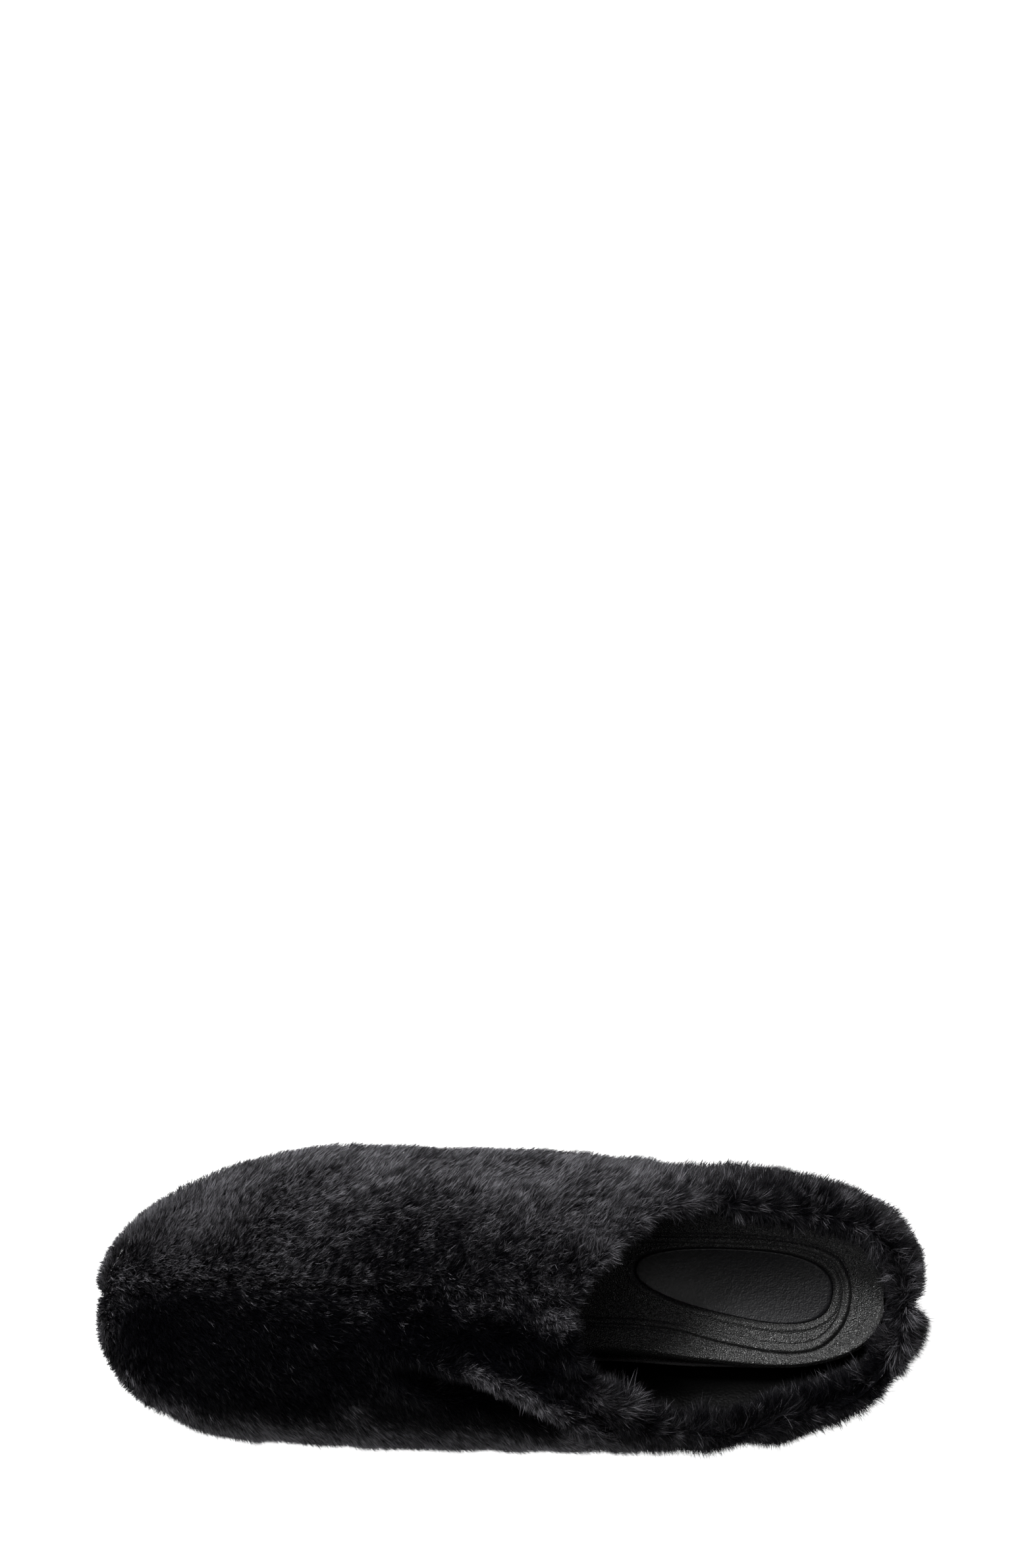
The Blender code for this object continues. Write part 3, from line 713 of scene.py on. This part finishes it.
def nap_and_painted_light_tone(points):
    """Fur tone, mostly painted light and shade: darker at the heel, painted shade past the seam and on the
    medial collar, painted light down the lateral flank, the low medial edge and the fold, and patches of nap
    and of painted light.
    """
    station, side = points[:, 0], points[:, 1]
    seam = line_side(CENTRE_SEAM, station)
    off_seam = side - seam
    lateral, medial = fur_sides(station)
    flank = smooth_step(off_seam / np.minimum(lateral - seam, -MM), *FLANK_ZONE)
    # Painted light down the lateral flank, painted shade past the seam on the medial side
    vamp = blend(blend(RIDGE_TONE, LIT_FLANK_TONE, flank), SHADED_TONE, smooth_step(off_seam, *SHADED_ZONE))
    # Painted bounce light along the low medial edge
    low_medial = smooth_step(off_seam / np.maximum(medial - seam, MM), *BOUNCE_LIT_MEDIAL_ZONE)
    vamp = blend(vamp, BOUNCE_LIT_MEDIAL_TONE, low_medial)
    collar = blend(HEEL_TONE, SHADED_MEDIAL_COLLAR_TONE, smooth_step(side, *MEDIAL_COLLAR_ZONE))
    tone = blend(collar, vamp, smooth_step(station, *VAMP_TONE_ZONE))
    # Painted highlight along the fold's edge
    from_fold = (side - line_side(MEDIAL_FOLD, station) - FOLD_LIT_PLACE) / FOLD_LIT_WIDTH
    tone = blend(tone, FOLD_HIGHLIGHT_TONE, bell(from_fold) * between_zones(station, FOLD_LIT_IN, FOLD_LIT_OUT))
    # Patches of nap and of painted light and shade
    for patch in NAP_AND_LIGHT:
        away = np.hypot(station - patch.station * MM, side - patch.side * MM) / (patch.radius * MM)
        tone = blend(tone, patch.tone, bell(away))
    return tone


def grow_tufts(fur, coat, rng):
    """Tufts over a coat's cells: place, lay, length, lift and tone of each."""
    low = np.arange(len(fur.tips) - 1)[:, None]
    seen = blend(HIDDEN_SHARE, 1, smooth_step(low, *HIDDEN_ROWS))
    chance = (fur.cell_areas() * fur.part(coat.name) * seen).ravel()
    cell = rng.choice(chance.size, coat.tufts, p=chance / chance.sum())
    row = cell // FUR_AROUND + rng.random(coat.tufts)
    column = cell % FUR_AROUND + rng.random(coat.tufts)

    def read(name):
        return fur.read(getattr(fur, name), row, column)

    skin, normal = read("skin"), unit(read("normal"))
    leans_in = rng.random(coat.tufts) < read("over")
    lay = unit(np.where(leans_in[:, None], read("inward"), read("lay")))
    uneven = read("on_rim") * waves(skin, RIM_TUFTS) + waves(skin, LENGTH_WAVE)
    length = read("length") * (1 + uneven + LENGTH_SCATTER * rng.normal(size=coat.tufts))
    lift = read("lift") + waves(skin, LIFT_WAVE) + LIFT_SCATTER * rng.normal(size=coat.tufts)
    turn = read("stray") * rng.normal(size=coat.tufts)
    lay = swung(lay, normal, turn[:, None])
    # Tone: painted light and shade over the shoe, then random variation from waves, clumps and scatter
    tone = nap_and_painted_light_tone(skin) * (1 + waves(skin, TONE_WAVE)) * read("shade")
    contrast = CLUMP_CONTRAST - CLUMP_FADE * tone
    clump = np.exp(contrast * waves(skin, CLUMPS) - contrast * contrast)
    tone = tone * clump * rng.lognormal(0, TUFT_TONE_SCATTER, coat.tufts)
    return skin, normal, lay, length, lift, tone


def make_coat(fur, coat, rng):
    """One piece of fur: hairs as bent leaves of two triangles, in tufts."""
    skin, normal, lay, length, lift, tone = grow_tufts(fur, coat, rng)
    normal, lay, lift = normal[:, None], lay[:, None], lift[:, None, None]
    shape = (coat.tufts, HAIRS_PER_TUFT, 1)
    first, second = rng.normal(0, TUFT_SPREAD, shape), rng.normal(0, TUFT_SPREAD, shape)
    offset = lay * first + np.cross(normal, lay) * second
    scatter = np.clip(rng.normal(HAIR_LENGTH, HAIR_LENGTH_SCATTER, shape), *HAIR_LENGTHS)
    size = length[:, None, None] * scatter

    def lean(angle):
        way = lay * np.cos(angle) + normal * np.sin(angle)
        return unit(way + rng.normal(0, HAIR_STRAY, shape[:2] + (3,)))

    low, high = lean(lift + HAIR_BEND), lean(lift - HAIR_BEND)
    root = skin[:, None] + offset
    gathered = offset * (1 - TUFT_GATHER)
    middle = root + low * size / 2 - gathered * MIDDLE_GATHER
    tip = root + (low + high) * size / 2 - gathered
    way = unit(tip - root)
    flat = swung(unit(np.cross(way, normal)), way, rng.uniform(-HAIR_TWIST, HAIR_TWIST, shape))
    half = HAIR_HALF_WIDTH * rng.uniform(*HAIR_WIDTHS, shape) * flat
    points = np.stack([root, middle - half, middle + half, tip], axis=2).reshape(-1, 3)
    first_corner = np.arange(0, len(points), len(HAIR_MAP_ALONG))
    faces = (first_corner[:, None, None] + np.array(HAIR_FACES)).reshape(-1, 3)
    piece = mesh_object(coat.name, points, faces, 3)
    hair_tone = tone[:, None] * rng.lognormal(0, HAIR_TONE_SCATTER, shape[:2])
    # A few pale hairs: painted glints
    glint_hair = rng.random(shape[:2]) < GLINT_HAIRS
    hair_tone = np.clip(np.where(glint_hair, GLINT_HAIR_TONE, hair_tone), *TONE_RANGE)
    map_across = hair_tone.reshape(-1, 1) + np.array(HAIR_MAP_ACROSS)
    places = np.stack(np.broadcast_arrays(map_across, HAIR_MAP_ALONG), axis=2).reshape(-1, 2)
    for name in ("Strand", "OFBake"):
        map_corners(piece, name, places[faces.ravel()])
    return piece


def ring_faces(row_count, ring_count, closed_stack):
    """Four-cornered faces through a stack of closed rings; the stack may close too."""
    rows = np.arange(row_count if closed_stack else row_count - 1)[:, None]
    ring = np.arange(ring_count)[None, :]
    above = (rows + 1) % row_count
    ahead = (ring + 1) % ring_count
    corners = [rows * ring_count + ring, rows * ring_count + ahead, above * ring_count + ahead]
    corners.append(above * ring_count + ring)
    return np.stack(np.broadcast_arrays(*corners), axis=2).reshape(-1, 4)


def make_lined_upper(fur):
    """Closed wall of the upper: skin, over the rim, and lining down to the footbed."""
    ripple = waves(fur.lining, LINING_RIPPLE)
    normal, _ = surface_frame(fur.lining)
    lining = fur.lining + normal * ripple[..., None]
    edge = grown(feather_line(fur.angle), -LINING_INSET)
    lining[0] = on_sole(edge)
    outside = fur.skin[::SKIN_STEP]
    inside = lining[::-SKIN_STEP]
    rings = np.concatenate([outside, inside])[:, ::SKIN_STEP]
    faces = ring_faces(len(rings), rings.shape[1], closed_stack=True)
    piece = mesh_object("lined_upper", rings.reshape(-1, 3), faces, 4)
    is_lining = np.arange(len(rings)) >= len(outside) - 1
    piece.data.polygons.foreach_set("material_index", np.repeat(is_lining, rings.shape[1]).astype(np.int32))
    return turned_out(piece)


def facing_edges(grow_by, angles):
    """Points of the sole's lateral and medial edges that face each other."""
    turns = np.concatenate([[0], angles, [np.pi], 2 * np.pi - angles[::-1]])
    ring = np.stack([along(SOLE_BACK, SOLE_FRONT, turns), outline_y("sole", turns)], axis=1)
    ring = grown(ring, grow_by)
    return ring[1 : len(angles) + 1], ring[: len(angles) + 1 : -1]


def egg_outline(points):
    """The pad's outline: a blunted ellipse, wider towards the heel."""
    angle = full_turn(points)
    cosine = np.sign(np.cos(angle)) * np.abs(np.cos(angle)) ** PAD_BLUNTNESS
    sine = np.sign(np.sin(angle)) * np.abs(np.sin(angle)) ** PAD_BLUNTNESS
    return -PAD_HALF_LENGTH * cosine, PAD_HALF_WIDTH * sine * (1 + PAD_TAPER * cosine)


def pad_to_shoe(length, width):
    """Places in the pad's own axes, in the shoe's plan."""
    station = PAD_CENTRE[0] + length * np.cos(PAD_TURN) - width * np.sin(PAD_TURN)
    side = PAD_CENTRE[1] + length * np.sin(PAD_TURN) + width * np.cos(PAD_TURN)
    return station, side


def inside_line(station, side, line):
    """Signed plan distance from points to a line, positive on its left."""
    start, end = line[:-1], line[1:]
    run = end - start
    point = np.stack([station, side], axis=-1)[..., None, :]
    share = np.sum((point - start) * run, axis=-1) / np.sum(run * run, axis=-1)
    off = point - start - run * np.clip(share, 0, 1)[..., None]
    distance = np.linalg.norm(off, axis=-1)
    nearest = distance.argmin(axis=-1)[..., None]
    left = run[:, 0] * off[..., 1] - run[:, 1] * off[..., 0]
    side_of_line = np.sign(np.take_along_axis(left, nearest, axis=-1)[..., 0])
    return np.take_along_axis(distance, nearest, axis=-1)[..., 0] * side_of_line


def inside_pad(station, side):
    """1 at the pad's centre, 0 on its outline, below 0 outside."""
    along_pad = (station - PAD_CENTRE[0]) * np.cos(PAD_TURN) + (side - PAD_CENTRE[1]) * np.sin(PAD_TURN)
    across_pad = (side - PAD_CENTRE[1]) * np.cos(PAD_TURN) - (station - PAD_CENTRE[0]) * np.sin(PAD_TURN)
    cosine = np.clip(-along_pad / PAD_HALF_LENGTH, -1, 1)
    width = PAD_HALF_WIDTH * (1 + PAD_TAPER * cosine)
    power = 2 / PAD_BLUNTNESS
    away = np.abs(along_pad / PAD_HALF_LENGTH) ** power + np.abs(across_pad / width) ** power
    return 1 - away ** (1 / power)


def groove_path():
    """The moulded groove as a smooth line through its table."""
    rows = np.array(GROOVE) * MM
    place = np.linspace(0, len(GROOVE) - 1, (len(GROOVE) - 1) * GROOVE_STEPS + 1)
    return through(rows, place, closed=False)


def moulding(row, inside):
    """Height of one moulding: a bell curve of its width round its own distance."""
    off = (inside - row.inside * MM) / (row.width * MM)
    return row.height * MM * bell(off)


def footbed_relief(station, side):
    """Height added to the footbed: mouldings, a bead round the pad, its recess."""
    within = inside_pad(station, side)
    length, width = egg_outline(RECESS_POINTS)
    egg = np.stack(pad_to_shoe(length, width), axis=1)
    from_pad = np.abs(inside_line(station, side, np.concatenate([egg, egg[:1]])))
    from_groove = inside_line(station, side, groove_path())
    relief = sum(moulding(row, from_groove) for row in MOULDINGS)
    relief *= 1 - smooth_step(station, *MOULDING_END)
    relief += moulding(PAD_BEAD, -from_pad)
    relief *= smooth_step(-within, *BEAD_CLEARING)
    sunk = PAD_THICKNESS + PAD_SUNK + GAP
    return relief - sunk * smooth_step(within, *RECESS_EDGE)


def make_footbed():
    """Moulded footbed: sections across the shoe, dense at the heel."""
    heel_part = FOOTBED_BACK + HEEL_PART_LENGTH * np.linspace(0, 1, HEEL_SECTIONS) ** HEEL_CROWDING
    station = np.concatenate([heel_part, np.linspace(*FRONT_SECTIONS)])
    angles = angle_at((station - SOLE_BACK) / (SOLE_FRONT - SOLE_BACK))
    lateral, medial = facing_edges(-FOOTBED_INSET, angles)
    low_lateral, low_medial = on_sole(lateral)[:, None], on_sole(medial)[:, None]
    waist = WAIST_INSET * bell((station - WAIST_STATION) / WAIST_REACH)
    medial = medial - np.column_stack([0 * waist, waist])
    across = np.linspace(-1, 1, ACROSS_POINTS)
    place = lateral[:, None] + (medial - lateral)[:, None] * ((1 + across) / 2)[None, :, None]
    half = np.linalg.norm(medial - lateral, axis=1)[:, None] / 2
    height = footbed_height(place[..., 0], across) + footbed_relief(place[..., 0], place[..., 1])
    from_edge = (1 - np.abs(across)) * half
    at_heel = 1 - smooth_step(station, *EDGE_BEAD_END)
    height += moulding(EDGE_BEAD, from_edge) * at_heel[:, None]
    height -= EDGE_ROUNDING * (1 - smooth_step(from_edge, 0, EDGE_ROUNDING)) ** 2
    top = np.concatenate([place, height[..., None]], axis=2)
    return capped_loft("moulded_footbed", np.concatenate([low_medial, low_lateral, top], axis=1))


def capped_loft(name, rings):
    """Closed solid through a stack of rings, each end closed by a fan of triangles."""
    count = rings.shape[1]
    points = np.concatenate([rings.reshape(-1, 3), rings[:1].mean(axis=1), rings[-1:].mean(axis=1)])
    quads = ring_faces(len(rings), count, closed_stack=False)
    here = np.arange(count)
    ahead = (here + 1) % count
    first_middle, last_middle = len(points) - 2, len(points) - 1
    start = np.stack([ahead, here, np.full(count, first_middle)], axis=1)
    base = (len(rings) - 1) * count
    end = np.stack([base + here, base + ahead, np.full(count, last_middle)], axis=1)
    triangles = np.concatenate([quads[:, [0, 1, 2]], quads[:, [0, 2, 3]], start, end])
    piece = mesh_object(name, points, triangles, 3)
    return turned_out(piece)


def turned_out(piece):
    """Turns the faces of a closed piece outwards if its signed volume is negative."""
    shape = bmesh.new()
    shape.from_mesh(piece.data)
    if shape.calc_volume(signed=True) < 0:
        piece.data.flip_normals()
    shape.free()
    return piece


def make_heel_pad():
    """Heel pad: rings of the egg from a flat base, round its edge, to a dished top."""
    length, width = egg_outline(PAD_POINTS)
    sink = PAD_THICKNESS + PAD_SUNK
    profile = [(PAD_MIDDLE, -sink), (PAD_BASE, -sink)]
    profile += [(share, rise * MM) for share, rise in PAD_EDGE]
    dish = np.linspace(PAD_TOP, PAD_MIDDLE, PAD_TOP_RINGS)
    profile += [(share, -PAD_EDGE_DROP - PAD_DISH * (1 - share**2)) for share in dish]
    rings = []
    for share, rise in profile:
        station, side = pad_to_shoe(length * share, width * share)
        rings.append(np.column_stack([station, side, footbed_height(station, 0) + rise]))
    return capped_loft("heel_pad_face", np.stack(rings))


def spine_stack(name, rings):
    """Closed solid through a stack of rings whose first and last rings fold flat onto a spine.

    A point of a folded ring and the one across the spine are one vertex, the lower numbered of the two.
    """
    count = rings.shape[1]
    quads = ring_faces(len(rings), count, closed_stack=False)
    row, place = quads // count, quads % count
    folded = (row == 0) | (row == len(rings) - 1)
    place = np.where(folded, np.minimum(place, (count - place) % count), place)
    quads = row * count + place
    triangles = np.concatenate([quads[:, [0, 1, 2]], quads[:, [0, 2, 3]]])
    return turned_out(mesh_object(name, rings.reshape(-1, 3), triangles, 3))


def tread_groove(station, side):
    """Depth of the tread's grooves: shallow waves across, at an even pitch."""
    wave = TREAD_WAVE * np.cos(side / TREAD_WAVE_WIDTH)
    return TREAD_DEPTH * smooth_step(np.cos((station + wave) * 2 * np.pi / TREAD_PITCH), *TREAD_BAND)


def make_outsole():
    """Outsole: rings from a spine on top, down the side, round the lower edge and in to a spine below."""
    angle = full_turn(SOLE_AROUND)
    outline = np.stack([along(SOLE_BACK, SOLE_FRONT, angle), outline_y("sole", angle)], axis=1)
    facing = outline[(SOLE_AROUND - np.arange(SOLE_AROUND)) % SOLE_AROUND]
    spine = (outline + facing) / 2
    spine[:, 0] = np.clip(spine[:, 0], SOLE_BACK + SPINE_END, SOLE_FRONT - SPINE_END)
    top, bottom = sole_top(outline[:, 0]), sole_bottom(outline[:, 0])

    def ring(plan, height):
        return np.column_stack([plan, height])

    rings = [ring(spine, sole_top(spine[:, 0])), ring(grown(outline, -TOP_EDGE), top)]
    for share in np.linspace(0, 1, SIDE_RINGS):
        line = SIDE_LINE_DEPTH * bell((share - SIDE_LINE_PLACE) / SIDE_LINE_WIDTH)
        rings.append(ring(grown(outline, -line), blend(top - TOP_EDGE, bottom + SOLE_EDGE_RADIUS, share)))
    for turn in np.linspace(0, np.pi / 2, EDGE_RINGS)[1:]:
        inset = SOLE_EDGE_RADIUS * (1 - np.cos(turn))
        rings.append(ring(grown(outline, -inset), bottom + SOLE_EDGE_RADIUS * (1 - np.sin(turn))))
    edge = grown(outline, -SOLE_EDGE_RADIUS)
    for share in np.linspace(0, 1, TREAD_RINGS)[1:]:
        plan = blend(edge, spine, share)
        groove = tread_groove(plan[:, 0], plan[:, 1]) * smooth_step(share, *TREAD_START)
        rings.append(ring(plan, sole_bottom(plan[:, 0]) + groove))
    return spine_stack("grooved_outsole", np.stack(rings))


class Signal:
    """One output of a node. Arithmetic with numbers or other signals adds Math nodes."""

    def __init__(self, finish, socket):
        self.finish = finish
        self.socket = socket

    def maths(self, operation, first, second):
        return self.finish.node("ShaderNodeMath", {"operation": operation}, {0: first, 1: second})

    def __add__(self, other):
        return self.maths("ADD", self, other)

    def __sub__(self, other):
        return self.maths("SUBTRACT", self, other)

    def __rsub__(self, other):
        return self.maths("SUBTRACT", other, self)

    def __mul__(self, other):
        return self.maths("MULTIPLY", self, other)

    def __pow__(self, other):
        return self.maths("POWER", self, other)

    __radd__ = __add__
    __rmul__ = __mul__


# Places of the Mix node's colour sockets
MIX_SHARE, MIX_FIRST, MIX_SECOND, MIX_COLOUR = 0, 6, 7, 2


class Finish:
    """A material built from nodes round one Principled shader."""

    def __init__(self, name, **shader_values):
        self.material = bpy.data.materials.new(name)
        self.material.use_nodes = True
        self.tree = self.material.node_tree
        self.shader = self.tree.nodes["Principled BSDF"]
        self.set(**shader_values)

    def set(self, **values):
        """Feeds sockets of the shader by name."""
        for socket, value in values.items():
            self.feed(self.shader.inputs[socket.replace("_", " ")], value)

    def feed(self, socket, value):
        """Links a signal to a socket, or sets its value."""
        if isinstance(value, Signal):
            self.tree.links.new(value.socket, socket)
        else:
            socket.default_value = value

    def node(self, kind, settings=(), inputs=(), output=0):
        """Adds a node, sets its settings and feeds its sockets; returns one output."""
        made = self.tree.nodes.new(kind)
        for key, value in dict(settings).items():
            setattr(made, key, value)
        for key, value in dict(inputs).items():
            self.feed(made.inputs[key], value)
        return Signal(self, made.outputs[output])

    def grid(self, size):
        """Inputs of a texture on the piece's own coordinates, with features of about a size."""
        return {"Vector": self.node("ShaderNodeTexCoord", output="Object"), "Scale": 1 / size}

    def noise(self, size, detail):
        """Soft noise with features of about a size."""
        inputs = {**self.grid(size), "Detail": detail, "Roughness": NOISE_ROUGHNESS}
        return self.node("ShaderNodeTexNoise", {}, inputs)

    def grains(self, size, smoothness):
        """Distance from the middles of rounded grains of about a size."""
        inputs = {**self.grid(size), "Smoothness": smoothness}
        return self.node("ShaderNodeTexVoronoi", {"feature": "SMOOTH_F1"}, inputs, "Distance")

    def grain_values(self, size):
        """A random value for each grain of about a size."""
        return self.axis(self.node("ShaderNodeTexVoronoi", {}, self.grid(size), "Color"), "X")

    def axis(self, vector, name):
        """One axis of a vector."""
        return self.node("ShaderNodeSeparateXYZ", {}, {0: vector}, name)

    def mix(self, first, second, share):
        """Colour between two colours."""
        inputs = {MIX_SHARE: share, MIX_FIRST: first, MIX_SECOND: second}
        return self.node("ShaderNodeMix", {"data_type": "RGBA"}, inputs, MIX_COLOUR)

    def cover(self, colours, share, roughness, height, raised):
        """Sets the colour between two, the roughness and the raised surface; returns the material."""
        normal = self.node("ShaderNodeBump", {}, {"Height": height, "Distance": raised})
        self.set(Base_Color=self.mix(*colours, share), Roughness=roughness, Normal=normal)
        return self.material


# Darkest and lightest colour of each finish
PILE_COLOURS = (0.0005, 0.0005, 0.001, 1), (0.17, 0.1665, 0.181, 1)
UNDERFUR_COLOURS = (0.0006, 0.0006, 0.0008, 1), (0.003, 0.003, 0.0034, 1)
LINING_COLOURS = (0.0005, 0.0005, 0.0005, 1), (0.0012, 0.0012, 0.0012, 1)
COVER_COLOURS = (0.008, 0.008, 0.008, 1), (0.018, 0.018, 0.018, 1)
PAD_COLOURS = (0.0022, 0.0022, 0.003, 1), (0.006, 0.006, 0.0072, 1)
RUBBER_COLOURS = (0.006, 0.006, 0.006, 1), (0.013, 0.013, 0.0135, 1)
WHITE, FLOOR_WHITE = (1, 1, 1, 1), (0.92, 0.92, 0.92, 1)

# Size of the cover's pebbles, roughness of all noise, and the powers that the tips, tones and glints rise by
PEBBLE, NOISE_ROUGHNESS = 0.45 * MM, 0.55
TIP_POWER, TONE_POWER, GLINT_POWER = 1.4, 2.0, 3.0


def fur_finish():
    """Black pile: dark roots, charcoal tips, and a tone of its own for each tuft and hair, which carries
    painted light and shade as well as random nap.
    """
    finish = Finish("black pile", Roughness=0.5, Specular_IOR_Level=0.04)
    strand = finish.node("ShaderNodeUVMap", {"uv_map": "Strand"})
    share = (finish.axis(strand, "Y") ** TIP_POWER) * (finish.axis(strand, "X") ** TONE_POWER)
    finish.set(Base_Color=finish.mix(*PILE_COLOURS, share))
    return finish.material


def skin_finish():
    """Dense underfur and backing seen between the hairs: almost black, with a soft fine nap."""
    finish = Finish("underfur", Specular_IOR_Level=0.0)
    nap = finish.noise(size=1.2 * MM, detail=4)
    return finish.cover(UNDERFUR_COLOURS, nap, roughness=0.85 + nap * 0.1, height=nap, raised=0.8 * MM)


def lining_finish():
    """Smooth black lining with a fine leather grain and faint soft creases."""
    finish = Finish("black lining", Specular_IOR_Level=0.05)
    grain = finish.grains(size=0.9 * MM, smoothness=0.6)
    crease = finish.noise(size=9 * MM, detail=3)
    roughness, height = 0.50 + grain * 0.2, grain + crease * 2.0
    return finish.cover(LINING_COLOURS, crease, roughness, height, raised=0.25 * MM)


def footbed_finish():
    """Black pebble-grained cover: rounded grains, some with glossy tops, and a faint mottle."""
    finish = Finish("pebble-grained cover", Specular_IOR_Level=0.55)
    glint = finish.grain_values(PEBBLE) ** GLINT_POWER
    mottle = finish.noise(size=12 * MM, detail=3)
    pebble = finish.grains(PEBBLE, smoothness=0.1)
    height = (1 - pebble) + finish.noise(size=0.30 * MM, detail=2) * 0.35
    roughness = 0.41 - glint * 0.32 + mottle * 0.08
    return finish.cover(COVER_COLOURS, mottle, roughness=roughness, height=height, raised=0.34 * MM)


def pad_finish():
    """Smoother black cover of the heel pad with a fine drawn grain."""
    finish = Finish("smooth pad cover", Specular_IOR_Level=0.4)
    drawn = finish.noise(size=1.4 * MM, detail=4)
    grain = finish.grains(size=0.5 * MM, smoothness=0.6)
    height = (1 - grain) * 0.5 + drawn * 0.6
    return finish.cover(PAD_COLOURS, drawn, roughness=0.34 + drawn * 0.14, height=height, raised=0.18 * MM)


def rubber_finish():
    """Matte moulded rubber foam with a fine sandy surface."""
    finish = Finish("black rubber foam", Specular_IOR_Level=0.25)
    worn = finish.noise(size=18 * MM, detail=4)
    sand = finish.noise(size=0.5 * MM, detail=2)
    return finish.cover(RUBBER_COLOURS, worn, roughness=0.55 + worn * 0.2, height=sand, raised=0.12 * MM)


def floor_finish():
    """Plain white floor, lit from within as on a light table."""
    finish = Finish("white floor", Base_Color=FLOOR_WHITE, Roughness=0.9)
    finish.set(Emission_Color=WHITE, Emission_Strength=FLOOR_GLOW)
    return finish.material


# Camera, in the photograph's pixels: where the shoe's middle lies and how many pixels a millimetre takes
FRAME_SIZE = (1552, 2380)
SHOE_PIXEL = (778, 1970)
PIXELS_PER_MM = 4.71
SHOE_LEVEL = 35 * MM
CAMERA_DISTANCE, CAMERA_RANGE = 2.2, 20
CAMERA_TILT, CAMERA_ROLL = np.radians(8.0), np.radians(0.5)
SENSOR_LONG_SIDE = 36.0

# Light: name, place, side of its square, power
Lamp = namedtuple("Lamp", "name place size power")
LAMPS = (
    Lamp("key_from_lateral_side", (0.42, -1.18, 1.00), 0.5, 62.0),
    Lamp("overhead_fill", (0.55, -0.35, 1.25), 0.9, 7.0),
    Lamp("low_medial_fill", (0.25, 1.50, 0.32), 1.2, 26.0),
    Lamp("heel_fill", (-0.80, -0.25, 1.15), 0.6, 1.2),
)
NEARLY_UP = (0.01, 0.02, 1)
FLOOR_REACH, FLOOR_DROP, FLOOR_GLOW = 3.0, 0.2 * MM, 0.97
WORLD_LIGHT = 0.03


def put_up(name, data, place, axes):
    """Camera or lamp at a place, turned so that its own axes are the ones given."""
    made = linked(name, data)
    turned = Matrix(np.column_stack(axes).tolist()).to_4x4()
    made.matrix_world = Matrix.Translation(np.array(place).tolist()) @ turned
    return made


def make_camera():
    """Camera above the shoe, aimed so that the shoe falls on its own pixels."""
    to_camera = np.array([0, -np.sin(CAMERA_TILT), np.cos(CAMERA_TILT)])
    right = np.array([-1.0, 0, 0])
    down = np.array([0, np.cos(CAMERA_TILT), np.sin(CAMERA_TILT)])
    focal_pixels = PIXELS_PER_MM / MM * CAMERA_DISTANCE
    off_x = (SHOE_PIXEL[0] - FRAME_SIZE[0] / 2) / focal_pixels
    off_y = (SHOE_PIXEL[1] - FRAME_SIZE[1] / 2) / focal_pixels
    rolled_right = right * np.cos(CAMERA_ROLL) - down * np.sin(CAMERA_ROLL)
    rolled_down = right * np.sin(CAMERA_ROLL) + down * np.cos(CAMERA_ROLL)
    forward = unit(-to_camera - rolled_right * off_x - rolled_down * off_y)
    side = unit(rolled_right - forward * np.dot(rolled_right, forward))
    up = np.cross(side, forward)
    data = bpy.data.cameras.new("photo_camera")
    data.sensor_width = SENSOR_LONG_SIDE
    data.lens = SENSOR_LONG_SIDE * focal_pixels / max(FRAME_SIZE)
    data.clip_end = CAMERA_RANGE
    place = np.array([0, 0, SHOE_LEVEL]) + to_camera * CAMERA_DISTANCE
    bpy.context.scene.camera = put_up("photo_camera", data, place, [side, up, -forward])


def make_light():
    """Soft square lamps that face the shoe, and a faint white surround."""
    for lamp in LAMPS:
        data = bpy.data.lights.new(lamp.name, "AREA")
        data.size = lamp.size
        data.energy = lamp.power
        backward = unit(np.array(lamp.place) - [0, 0, SHOE_LEVEL])
        side = unit(np.cross(NEARLY_UP, backward))
        light = put_up(lamp.name, data, lamp.place, [side, np.cross(backward, side), backward])
        light.visible_camera = False
    world = bpy.data.worlds.new("studio")
    world.use_nodes = True
    world.node_tree.nodes["Background"].inputs["Color"].default_value = WHITE
    world.node_tree.nodes["Background"].inputs["Strength"].default_value = WORLD_LIGHT
    bpy.context.scene.world = world
    bpy.context.scene.view_settings.view_transform = "Standard"


def make_floor():
    """Plain white floor under the tread."""
    corners = [(x * FLOOR_REACH, y * FLOOR_REACH, 0) for x, y in ((-1, -1), (1, -1), (1, 1), (-1, 1))]
    mesh = bpy.data.meshes.new("floor")
    mesh.from_pydata(corners, [], [(0, 1, 2, 3)])
    mesh.materials.append(floor_finish())
    floor = linked("floor", mesh)
    floor.location.z = -FLOOR_DROP


def dress(piece, materials, nodes=()):
    """Gives a piece its finish and body, and hides the solids it stands for."""
    for material in materials:
        piece.data.materials.append(material)
    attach(piece, "root")
    if nodes:
        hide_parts(*nodes)


def make_clog():
    """All pieces of the clog."""
    fur = FurGrid()
    dress(make_lined_upper(fur), [skin_finish(), lining_finish()], ["upper"])
    pile = fur_finish()
    rng = np.random.default_rng(FUR_SEED)
    for coat in COATS:
        dress(make_coat(fur, coat, rng), [pile])
    footbed = make_footbed()
    dress(footbed, [footbed_finish()], ["footbed"])
    heel_pad = make_heel_pad()
    dress(heel_pad, [pad_finish()], ["heel_pad"])
    dress(make_outsole(), [rubber_finish()], ["outsole"])


make_clog()
make_floor()
make_light()
make_camera()
